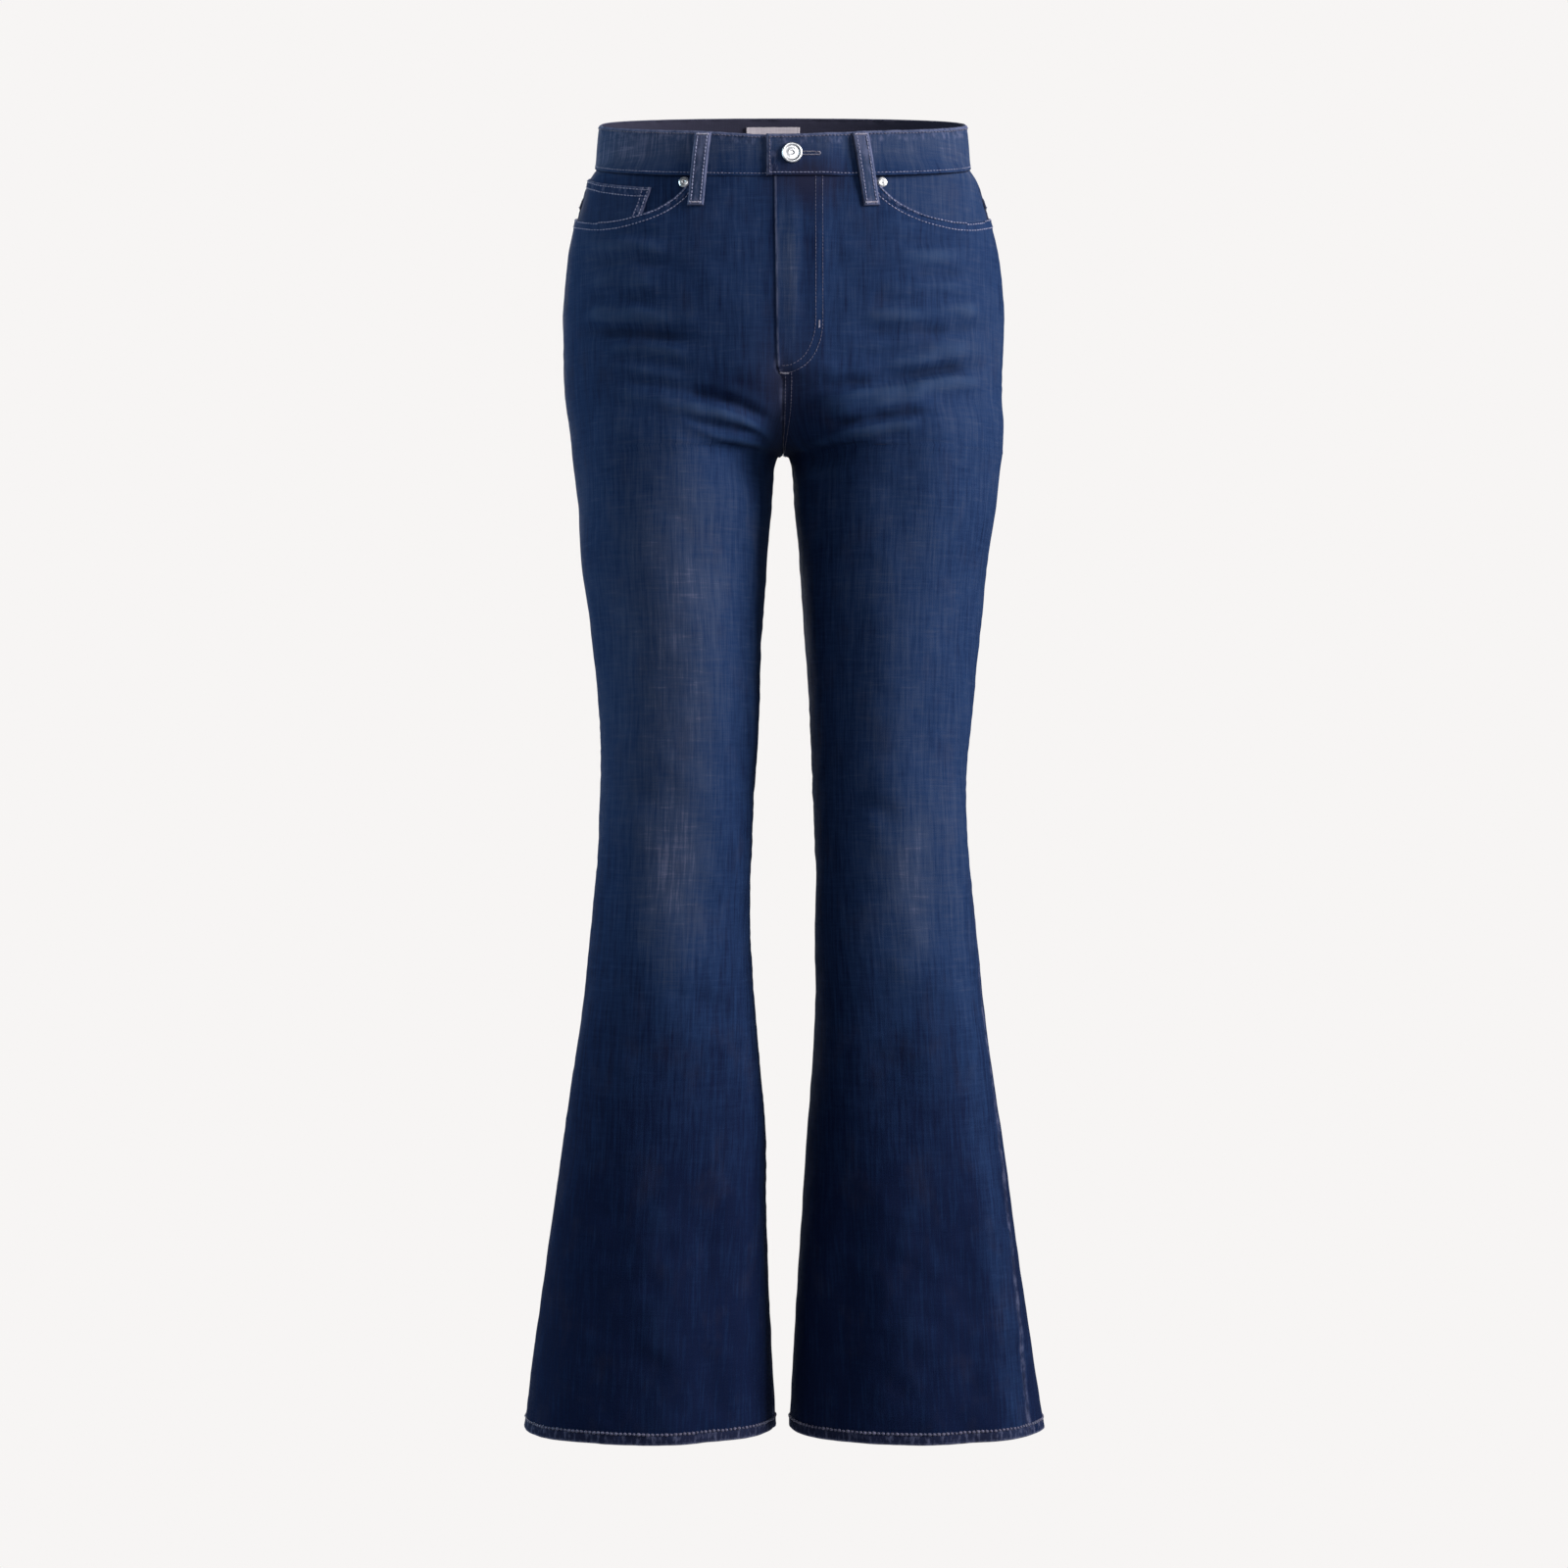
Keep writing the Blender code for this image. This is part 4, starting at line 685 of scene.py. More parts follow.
def makeWearGroup():
    # Pale, rubbed edges and puckered seams; distances to seams and folds come in metres
    tree, ins, outs = newGroup(
        "rubbedEdges",
        [("Place", "Vector", None), ("Seam", "Float", 0.05), ("Fold", "Float", 0.05), ("Rim", "Float", 0.05),
         ("Seam Reach", "Float", 0.005), ("Fold Reach", "Float", 0.0095)],
        [("Pale", "Float"), ("Dark", "Float")])

    def patches(size, moved):
        return noiseOf(tree, stretched(tree, ins["Place"], size, moved), rough=0.6)

    def nearTo(label, fromShare, toShare):
        share = mathOf(tree, "DIVIDE", ins[label], ins[label + " Reach"])
        return mathOf(tree, "SUBTRACT", 1.0, rangeOf(tree, share, fromShare, toShare))

    puckers, spots = patches((95.0, 80.0, 0.0), (0.0, 2.2, 0.0)), patches((230.0, 90.0, 0.0), (5.0, 1.3, 0.0))
    seamNear, foldNear = nearTo("Seam", 0.15, 1.0), nearTo("Fold", 0.7, 1.05)
    rim = mathOf(tree, "SUBTRACT", 1.0, rangeOf(tree, ins["Rim"], 0.0004, 0.0021))
    pale = mathOf(tree, "MAXIMUM",
                  mathOf(tree, "MULTIPLY", seamNear, rangeOf(tree, puckers, 0.42, 0.66, 0.1, 0.5)),
                  mathOf(tree, "MULTIPLY", foldNear, rangeOf(tree, spots, 0.47, 0.68, 0.0, 0.48)))
    rimUneven = mathOf(tree, "MULTIPLY", rim, rangeOf(tree, spots, 0.3, 0.62, 0.25, 0.95))
    feed(tree, outs["Pale"], mathOf(tree, "MAXIMUM", pale, rimUneven, clamp=True))
    dark = mathOf(tree, "MAXIMUM", seamNear, mathOf(tree, "MULTIPLY", foldNear, 0.5))
    feed(tree, outs["Dark"], mathOf(tree, "MULTIPLY", dark, rangeOf(tree, puckers, 0.5, 0.32, 0.0, 0.45)))
    return tree


weaveGroup, wearGroup = makeWeaveGroup(), makeWearGroup()


def newMaterial(name, roughness, **sockets):
    made = bpy.data.materials.new(name)
    made.use_nodes = True
    shader = made.node_tree.nodes["Principled BSDF"]
    shader.inputs["Roughness"].default_value = roughness
    for label, value in sockets.items():
        shader.inputs[label.replace("_", " ")].default_value = value
    return made, made.node_tree, shader


def bumpOf(tree, height, distance, strength=1.0):
    values = {"Height": height, "Distance": distance, "Strength": strength}
    return addNode(tree, "ShaderNodeBump", values).outputs[0]


def makeDenim(name, paler=0.0, edges=1.0, slub=0.5):
    made, tree, shader = newMaterial(name, 0.88, Sheen_Weight=0.035, Sheen_Roughness=0.35,
                                     Sheen_Tint=(0.3, 0.52, 1.0, 1.0), Specular_IOR_Level=0.06)
    place = addNode(tree, "ShaderNodeUVMap", uv_map="cloth").outputs[0]
    woven = placeGroup(tree, weaveGroup, Place=place, Slub=slub)
    rubbed = placeGroup(tree, wearGroup, Place=place, Seam=attributeOf(tree, "seamEdge"),
                        Fold=attributeOf(tree, "foldEdge"), Rim=attributeOf(tree, "rimEdge"))
    # fade: the dye's fading, with painted shade and a painted highlight mixed in
    fade, crease = attributeOf(tree, "fade"), attributeOf(tree, "crease")
    # The wash: clouds and streaks break up the faded places
    tone = fade
    for part, amount, more in (("Cloud", 0.28, 0.4), ("Warp", 0.24, 0.36), ("Weft", 0.04, 0.24)):
        strength = mathOf(tree, "MULTIPLY_ADD", fade, more, amount)
        tone = mathOf(tree, "MULTIPLY_ADD", mathOf(tree, "SUBTRACT", woven[part], 0.5), strength, tone)
    slubs = mathOf(tree, "MULTIPLY", mathOf(tree, "MAXIMUM", fade, 0.0), 0.22)
    tone = mathOf(tree, "MULTIPLY_ADD", woven["Pale Slub"], slubs, mathOf(tree, "ADD", tone, paler))
    ridge = rangeOf(tree, crease, 0.05, 0.9)
    tone = mathOf(tree, "MULTIPLY_ADD", ridge, 0.26, tone)
    colour = denimTones["raw"]
    for shade, *steps in (("blue", 0.0, 0.35, 0.0, 1.0), ("washed", 0.35, 0.8, 0.0, 1.0),
                          ("worn", 0.8, 1.4, 0.0, 0.9)):
        colour = mixOf(tree, rangeOf(tree, tone, *steps, "LINEAR"), colour, denimTones[shade])
    weftShown = mathOf(tree, "MULTIPLY", woven["Weft"], rangeOf(tree, tone, 0.1, 1.0, 0.02, 0.18, "LINEAR"))
    cast = noiseOf(tree, stretched(tree, place, (30.0, 19.0, 0.0), (4.0, 6.0, 0.0)), detail=3.0, rough=0.6)
    weftShown = mathOf(tree, "ADD", weftShown, rangeOf(tree, cast, 0.52, 0.72, 0.0, 0.14))
    weftShown = mathOf(tree, "MAXIMUM", weftShown, mathOf(tree, "MULTIPLY", attributeOf(tree, "plum"), 0.75))
    colour = mixOf(tree, weftShown, colour, denimTones["weft"])
    # Crease troughs darkened: painted shade with unfaded dye
    colour = mixOf(tree, rangeOf(tree, crease, -0.05, -1.2, 0.0, 0.5), colour, denimTones["trough"])
    colour = mixOf(tree, mathOf(tree, "MULTIPLY", ridge, 0.3), colour, denimTones["ridge"])
    colour = mixOf(tree, mathOf(tree, "MULTIPLY", rubbed["Dark"], edges), colour, denimTones["trough"])
    colour = mixOf(tree, mathOf(tree, "MULTIPLY", rubbed["Pale"], 0.8 * edges), colour, denimTones["worn"])
    # The inner face: the cloth's back, darkened as painted shade
    inner = mixOf(tree, woven["Weft"], denimTones["inside"], denimTones["weft"])
    colour = mixOf(tree, attributeOf(tree, "inside"), colour, inner)
    feed(tree, shader.inputs["Base Color"], colour)
    feed(tree, shader.inputs["Roughness"], rangeOf(tree, woven["Warp"], 0.0, 1.0, 0.74, 0.92))
    feed(tree, shader.inputs["Normal"], bumpOf(tree, woven["Height"], 0.00016, 0.8))
    return made


def makeWoven(name, colour, second, roughness, bump, **sockets):
    # Plain cloth of one colour, for pocketing, tape and label
    made, tree, shader = newMaterial(name, roughness, **sockets)
    place = addNode(tree, "ShaderNodeUVMap", uv_map="cloth").outputs[0]
    woven = placeGroup(tree, weaveGroup, Place=place, Slub=0.25)
    uneven = mathOf(tree, "MULTIPLY_ADD", woven["Warp"], 0.45, mathOf(tree, "MULTIPLY", woven["Weft"], 0.45))
    shade = mixOf(tree, uneven, colour, second)
    shade = mixOf(tree, rangeOf(tree, woven["Cloud"], 0.35, 0.75, 0.0, 0.5), shade, second)
    feed(tree, shader.inputs["Base Color"], shade)
    feed(tree, shader.inputs["Normal"], bumpOf(tree, woven["Height"], bump))
    return made


def makeThread(name, colour, second):
    made, tree, shader = newMaterial(name, 0.62, Sheen_Weight=0.2, Specular_IOR_Level=0.35)
    place = addNode(tree, "ShaderNodeTexCoord").outputs["Object"]
    uneven = noiseOf(tree, place, 420.0, 2.0)
    slow = noiseOf(tree, place, 30.0, 2.0)
    shade = mixOf(tree, rangeOf(tree, uneven, 0.3, 0.7), colour, second)
    shade = mixOf(tree, rangeOf(tree, slow, 0.45, 0.75, 0.0, 0.55), shade, denimTones["washed"])
    feed(tree, shader.inputs["Base Color"], shade)
    feed(tree, shader.inputs["Normal"], bumpOf(tree, noiseOf(tree, place, 2600.0, 1.0), 0.00006))
    return made


def makeNickel(name, colour, roughness):
    made, tree, shader = newMaterial(name, roughness, Metallic=1.0)
    place = addNode(tree, "ShaderNodeTexCoord").outputs["Object"]
    smudges = noiseOf(tree, place, 300.0, 3.0, 0.6)
    scratches = noiseOf(tree, stretched(tree, place, (2600.0, 2600.0, 300.0)), 1.0, 2.0)
    duller = tuple(0.55 * part for part in colour)
    shade = mixOf(tree, rangeOf(tree, smudges, 0.45, 0.8, 0.0, 0.6), colour, duller)
    feed(tree, shader.inputs["Base Color"], shade)
    feed(tree, shader.inputs["Roughness"], rangeOf(tree, smudges, 0.3, 0.75, roughness * 0.7, roughness * 1.7))
    feed(tree, shader.inputs["Normal"], bumpOf(tree, scratches, 0.00002, 0.6))
    return made


materials = {
    "denim": makeDenim("indigoDenim"),
    "loopDenim": makeDenim("loopDenim", paler=0.42, edges=0.9),
    "pocketing": makeWoven("pocketCotton", (0.62, 0.6, 0.54), (0.44, 0.42, 0.38), 0.9, 0.00012),
    "tape": makeWoven("zipTape", (0.02, 0.026, 0.055), (0.045, 0.05, 0.085), 0.75, 0.0001),
    "label": makeWoven("labelSatin", (0.6, 0.55, 0.59), (0.4, 0.35, 0.41), 0.48, 0.00004, Sheen_Weight=0.15),
    "thread": makeThread("topstitchThread", (0.25, 0.255, 0.4), (0.15, 0.152, 0.26)),
    "paleThread": makeThread("buttonholeThread", (0.46, 0.44, 0.54), (0.29, 0.26, 0.35)),
    "dimThread": makeThread("fadedThread", (0.105, 0.1, 0.17), (0.055, 0.052, 0.1)),
    "nickel": makeNickel("nickelPlate", (0.86, 0.86, 0.88), 0.33),
}
slots = {"denim": "denim", "loopDenim": "denim_trim", "pocketing": "pocketing", "tape": "zip", "label": "label",
         "thread": "thread", "dimThread": "thread", "paleThread": "thread", "nickel": "nickel"}
print("materials ready")

# Where the dye has faded, and where the cloth is darkened: side (0 for both), on the back, middle x
# (outwards) and z, half width, half height, amount. Negative amounts darken; at the crotch, down the left
# inner thigh and beside the fly's edge the darkening is painted shade.
fadeAndPaintedLightList = [
    (right, False, 0.088, -0.4, 0.055, 0.155, 0.43),
    (left, False, 0.102, -0.4, 0.046, 0.15, 0.15),
    (right, False, 0.094, -0.63, 0.045, 0.095, 0.22),
    (left, False, 0.104, -0.635, 0.045, 0.095, 0.2),
    (right, False, 0.092, -0.612, 0.024, 0.075, 0.34),
    (left, False, 0.106, -0.622, 0.024, 0.07, 0.24),
    # A paler band over the zip: partly rubbed, partly painted highlight
    (left, False, 0.006, -0.115, 0.008, 0.056, 0.36),
    (left, False, 0.021, -0.115, 0.009, 0.06, -0.2),
    (right, False, 0.145, -0.092, 0.036, 0.046, 0.1),
    (left, False, 0.028, -0.292, 0.022, 0.036, 0.12),
    (right, False, 0.125, -0.006, 0.05, 0.026, 0.22),
    (right, False, 0.046, -0.217, 0.03, 0.012, -0.24),
    (right, False, 0.036, -0.5, 0.02, 0.15, -0.13),
    (left, False, 0.02, -0.038, 0.032, 0.026, -0.32),
    # Painted shadow of the fly's lap on the right front, beside its edge
    (right, False, 0.009, -0.105, 0.006, 0.08, -0.2),
    # Painted shade about the crotch
    (0, False, 0.0, -0.25, 0.08, 0.046, -0.15),
    # Painted shade down the left inner thigh
    (left, False, 0.02, -0.45, 0.028, 0.26, -0.1),
    (left, False, 0.165, -0.2, 0.03, 0.08, 0.14),
    (0, True, 0.09, -0.18, 0.07, 0.085, 0.4),
    (0, True, 0.095, -0.4, 0.06, 0.18, 0.22),
    (0, True, 0.09, -0.6, 0.055, 0.06, 0.24),
]


fadeDown = np.array([  # how faded the cloth is all round, and how far below the waist
    (0.68, 0.015), (0.33, 0.035), (0.3, 0.2), (0.3, 0.55), (0.14, 0.75), (0.02, 0.9), (0.0, 1.08)])
# The outer streak: partly faded dye, partly painted highlight on the lit edge
paleStreakAndHighlight = {"at": 0.9, "width": 0.055, "fromZ": -0.42, "over": 0.2, "amount": 0.17}


def fadeAndPaintedLightAt(side, place):
    x, z, onFront = np.abs(place[..., 0]), place[..., 2], place[..., 1] < 0
    fade = np.interp(-z, fadeDown[:, 1], fadeDown[:, 0])
    for fadeSide, onBack, middleX, middleZ, halfWidth, halfHeight, amount in fadeAndPaintedLightList:
        if fadeSide in (0, side):
            near = np.exp(-(((x - middleX) / halfWidth) ** 2) - np.abs((z - middleZ) / halfHeight) ** 2.6)
            fade = fade + np.where(onFront != onBack, amount * near, 0.0)
    # A paler blue streak down the outer edge of the left leg, the side the key lamp lights: partly faded dye,
    # partly painted highlight
    outermost = np.interp(z, sectionHeights, sectionTable[:, 1])
    streak = np.exp(-(((x / outermost - paleStreakAndHighlight["at"]) / paleStreakAndHighlight["width"]) ** 2))
    streak *= paleStreakAndHighlight["amount"] * smooth((paleStreakAndHighlight["fromZ"] - z) / paleStreakAndHighlight["over"])
    return fade + np.where(onFront & (side == left), streak, 0.0)


hipGrain = {"x": 0.0925, "aboveZ": -0.3}  # the straight grain over the hips, and down to where it keeps there


def makeGrain(onBack):
    # How far round the form the straight grain of a leg's front or back lies, for each height
    places = []
    for lattice in (lower, upper):
        for z in lattice["z"][::6]:
            section = sectionAt(np.array([z]))[0]
            middle = hipGrain["x"] if z > hipGrain["aboveZ"] else (section[1] + section[2]) / 2
            places.append((z, distanceAt(z, middle, onBack)))
    return np.array(places)


grainLines = {False: makeGrain(False), True: makeGrain(True)}


def grainPlace(d, z):
    front, whole = lengths(z)
    d = np.where(z < crotchZ, np.mod(d + 0.2 * whole, whole) - 0.2 * whole, d)
    onBack = d > front
    start = np.where(onBack, np.interp(z, *grainLines[True].T), np.interp(z, *grainLines[False].T))
    return np.where(onBack, start - d, d - start) + np.where(onBack, 1.0, 0.0)


def along3d(points, axis):
    step = np.linalg.norm(np.diff(points, axis=axis), axis=-1)
    pad = [(0, 0), (0, 0)]
    pad[axis] = (1, 0)
    return np.cumsum(np.pad(step, pad), axis=axis)


def addPiece(name, mesh, kind):
    mesh.materials.clear()
    mesh.materials.append(materials[kind])
    piece = bpy.data.objects.new(name, mesh)
    scene.collection.objects.link(piece)
    piece["slot"] = slots[kind]
    return piece


# How far from an edge it still shapes the cloth, and how far seams, folds, stitch lines and rims are raised
# or sunk. Reaches and heights are in metres, the rim's swelling in thicknesses.
edgeShape = {"far": 0.05, "pucker": 0.00016, "puckerReach": 0.0075, "seamSunk": 0.00055, "seamReach": 0.0012,
             "foldBlend": 0.0016, "foldPucker": 0.00018, "stitchSunk": 0.0003, "stitchReach": 0.001,
             "rimSunk": 0.00035, "rimReach": 0.0007, "rimSwell": 0.42}
rimShares = {"seam": 0.0, "fold": 1.0, "plain": 0.4}


def makeCloth(name, side, d, z, out=0.0, thickness=None, kind="denim", edges=("seam",) * 4, foldWidth=0.0095,
              foldRaise=0.0005, foldInside=0.0, plum=0.0, puckered=1.0, uv=None, allInside=False, bend=None,
              paler=0.0):
    # A thin closed wall through a grid of places. The edges are top, bottom, start and end: "seam", "fold",
    # "plain", or a number for each point of that edge: 0 for a seam, 1 for a fold, 2 for a rubbed rim alone.
    thickness, shape = form["cloth"] if thickness is None else thickness, edgeShape
    d, z, out = np.broadcast_arrays(*(np.asarray(a, float) for a in (d, z, out)))
    sides = np.broadcast_to(np.asarray(side), d.shape)
    place, facing = np.zeros((*d.shape, 3)), np.zeros((*d.shape, 3))
    lift, mark, fade = np.zeros(d.shape), np.zeros(d.shape), np.zeros(d.shape)
    for oneSide in (left, right):
        chosen = sides == oneSide
        if chosen.any():
            place[chosen] = onForm(oneSide, z[chosen], d[chosen])
            facing[chosen] = formNormal(oneSide, z[chosen], d[chosen])
            lift[chosen], mark[chosen] = relief(oneSide, place[chosen], d[chosen], z[chosen])
            fade[chosen] = fadeAndPaintedLightAt(oneSide, place[chosen])
    rows, columns = d.shape
    down, across = along3d(place, 0), along3d(place, 1)
    distances = (down, down[-1:] - down, across, across[:, -1:] - across)
    seamEdge, foldEdge, rimEdge = (np.full(d.shape, shape["far"]) for _ in range(3))
    for edge, distance, vertical in zip(edges, distances, (False, False, True, True)):
        if isinstance(edge, str) and edge == "plain":
            continue
        share = float(edge == "fold") if isinstance(edge, str) else edge[:, None] if vertical else edge[None]
        share = np.broadcast_to(share, d.shape)
        seamEdge = np.minimum(seamEdge, np.where(share < 0.5, distance, shape["far"]))
        foldEdge = np.minimum(foldEdge, np.where((share >= 0.5) & (share < 1.5), distance, shape["far"]))
        rimEdge = np.minimum(rimEdge, np.where(share >= 0.5, distance, shape["far"]))
    ripples = waves(place, 21, 14, 0.0085, 0.019)
    lift += puckered * shape["pucker"] * np.exp(-((seamEdge / shape["puckerReach"]) ** 2)) * ripples
    lift -= shape["seamSunk"] * np.exp(-((seamEdge / shape["seamReach"]) ** 2))
    folded = smooth((foldWidth - foldEdge) / shape["foldBlend"])
    lift += foldRaise * folded + puckered * shape["foldPucker"] * folded * waves(place, 22, 12, 0.0075, 0.015)
    lift -= shape["stitchSunk"] * puckered * np.exp(-(((foldEdge - foldWidth) / shape["stitchReach"]) ** 2))
    lift -= shape["rimSunk"] * np.exp(-((rimEdge / shape["rimReach"]) ** 2))
    if bend is not None:
        lift += bend(d, z)
    outer = place + facing * (out + lift)[..., None]
    inner = place + facing * (out + lift - thickness - (foldRaise + foldInside) * folded)[..., None]

    # The rim: one row of points between the two faces, swollen outwards along free edges
    index = np.arange(rows * columns).reshape(rows, columns)
    border = np.concatenate([index[0], index[1:, -1], index[-1, -2::-1], index[-2:0:-1, 0]])
    away = np.zeros((rows, columns, 3))
    every = slice(None)
    for edge, target, inward in zip(edges, ((0, every), (-1, every), (every, 0), (every, -1)),
                                    ((1, every), (-2, every), (every, 1), (every, -2))):
        step = outer[target] - outer[inward]
        share = rimShares[edge] if isinstance(edge, str) else np.minimum(edge, 1.0)[:, None]
        away[target] += step / np.maximum(np.linalg.norm(step, axis=-1, keepdims=True), 1e-9) * share
    outerFlat, innerFlat = outer.reshape(-1, 3), inner.reshape(-1, 3)
    swollen = shape["rimSwell"] * thickness * away.reshape(-1, 3)[border]
    middle = (outerFlat[border] + innerFlat[border]) / 2 + swollen
    count, rim = rows * columns, len(border)
    points = np.concatenate([outerFlat, innerFlat, middle])
    quad = np.stack([index[:-1, :-1], index[1:, :-1], index[1:, 1:], index[:-1, 1:]], -1).reshape(-1, 4)
    step = np.arange(rim)
    after = np.roll(step, -1)
    ring = 2 * count + step
    rimOut = np.stack([border, border[after], ring[after], ring], 1)
    rimIn = np.stack([ring, ring[after], border[after] + count, border + count], 1)
    faces = np.concatenate([quad, quad[:, ::-1] + count, rimOut, rimIn])
    # The faces are turned round if they enclose less than nothing, so that their normals point out
    a, b, c, e = (points[faces[:, k]] for k in range(4))
    if np.einsum("ij,ij->i", a, np.cross(b, c)).sum() + np.einsum("ij,ij->i", a, np.cross(c, e)).sum() < 0:
        faces = faces[:, ::-1]
    mesh = bpy.data.meshes.new(name)
    mesh.from_pydata(points.tolist(), [], faces.tolist())

    def spread(values, innerValues=None):
        flat = np.broadcast_to(values, d.shape).reshape(-1)
        back = flat if innerValues is None else np.broadcast_to(innerValues, d.shape).reshape(-1)
        return np.concatenate([flat, back, (flat[border] + back[border]) / 2])

    plumAt = plum(place) if callable(plum) else plum
    # fade carries the dye's fading together with painted shade and a painted highlight
    for label, values in (("fade", spread(fade + paler)), ("crease", spread(np.clip(mark, -1.5, 1.5))),
                          ("seamEdge", spread(seamEdge)), ("foldEdge", spread(foldEdge)),
                          ("rimEdge", spread(rimEdge)),
                          ("inside", spread(1.0 if allInside else 0.0, 1.0)), ("plum", spread(plumAt))):
        attribute = mesh.attributes.new(label, "FLOAT", "POINT")
        attribute.data.foreach_set("value", values.astype(np.float32))
    u, v = (grainPlace(d, z), z) if uv is None else uv
    flatUv = np.stack([spread(u), spread(v)], 1)
    layer = mesh.uv_layers.new(name="cloth")
    corners = np.empty(len(mesh.loops), np.int32)
    mesh.loops.foreach_get("vertex_index", corners)
    layer.data.foreach_set("uv", flatUv[corners].astype(np.float32).ravel())
    mesh.shade_smooth()
    mesh.set_sharp_from_angle(angle=math.radians(62))
    piece = addPiece(name, mesh, kind)
    widths, heights = across[:, -1], down[-1]
    diagonals = place[1:, :-1] - place[:-1, 1:], place[1:, 1:] - place[:-1, :-1]
    sizes = np.linalg.norm(np.cross(*diagonals), axis=-1) / 2
    piece["cutWidth"], piece["cutLength"] = float(widths.max()), float(heights.max())
    piece["cutArea"] = float(min(sizes.sum(), widths.max() * heights.max()))
    return piece


def edgedShares(count, fine=(0.0, 0.0035, 0.008, 0.015, 0.026)):
    # Shares of the way across, closest together at both edges
    inner = np.linspace(fine[-1], 1 - fine[-1], count - 2 * len(fine) + 3)
    return np.concatenate([fine[:-1], inner, 1 - np.array(fine[:-1])[::-1]])


# The legs: fronts and backs
fly = {
    "endZ": -0.199, "joinedZ": -0.209, "lap": 0.007, "lapEnd": 0.0045, "full": 0.026, "fade": 0.046,
    "rightEdge": 0.002, "rightTurnsZ": -0.176, "zipBump": 0.0009,
}
legs = {"columns": 74, "rowStep": 0.0029, "hemRows": 12, "hemRowsZ": hemZ + 0.018}
hemFold = {"foldWidth": 0.0092, "foldRaise": 0.00055, "foldInside": 0.0006}
legRows = np.array([  # heights that one row of cloth has at the inseam and at the side seam
    (-0.26, -0.26), (-0.2625, -0.276), (-0.271, -0.293), (-0.295, -0.318), (-0.345, -0.36),
    (-0.415, -0.42), (-0.49, -0.49), (hemZ, hemZ)])


def flyLap(z):
    top = float(fromFront(0.0))
    return fly["lap"] + (fly["lapEnd"] - fly["lap"]) * (top - z) / (top - fly["endZ"])


def frontEdge(side, z):
    lapEnd = fly["lapEnd"]
    if side == left:
        edge = np.where(z >= fly["endZ"], -flyLap(z), -lapEnd * smooth((z - fly["joinedZ"]) / 0.01))
        return np.where(z < fly["joinedZ"], 0.0, edge)
    below = (lapEnd + form["seamGap"]) * smooth((z - fly["joinedZ"]) / 0.01)
    turning = (fly["rightTurnsZ"] - z) / (fly["rightTurnsZ"] - fly["endZ"])
    above = -fly["rightEdge"] + (lapEnd + form["seamGap"] + fly["rightEdge"]) * np.clip(turning, 0.0, 1.0)
    return np.where(z < fly["joinedZ"], 0.0, np.where(z < fly["endZ"], below, above))


def flyRaise(d, z):
    ending = smooth((z - fly["joinedZ"]) / (fly["endZ"] - fly["joinedZ"]))
    return (form["cloth"] + form["seamGap"]) * ending * smooth((fly["fade"] - d) / (fly["fade"] - fly["full"]))


def alongRise(topZ, isBack, count):
    z = crotchZ + (topZ - crotchZ) * np.linspace(1.0, 0.0, 800) ** 2
    row = sectionAt(z)
    y = riseY(z, form["backRiseZ"], row[:, 4]) if isBack else riseY(z, form["frontRiseZ"], row[:, 3])
    run = runOf(np.hypot(np.diff(z), np.diff(y)))
    return np.interp(np.linspace(0.0, run[-1], count + 1), run, z)


def legHeights():
    sideZ = np.concatenate([np.arange(crotchZ - legs["rowStep"], legs["hemRowsZ"] + 0.002, -legs["rowStep"]),
                            np.linspace(legs["hemRowsZ"], hemZ, legs["hemRows"])])
    return np.interp(-sideZ, -legRows[:, 1], legRows[:, 0]), sideZ


def plumCast(place):
    # The dye has a plum cast about the button, the fly's foot, the crotch seam and the hems
    x, z = place[..., 0] + 0.002, place[..., 2]
    foot = np.exp(-((x / 0.03) ** 2) - ((z + 0.2) / 0.04) ** 2)
    foot += 1.8 * np.exp(-(((x - 0.022) / 0.032) ** 2) - ((z + 0.038) / 0.026) ** 2)
    seam = np.exp(-((x / 0.01) ** 2)) * smooth((-0.185 - z) / 0.02)
    cast = np.where(place[..., 1] < 0.01, np.clip(0.28 * foot + 0.3 * seam, 0.0, 1.0), 0.0)
    return np.where(z < hemZ + 0.0085, 0.4, cast)


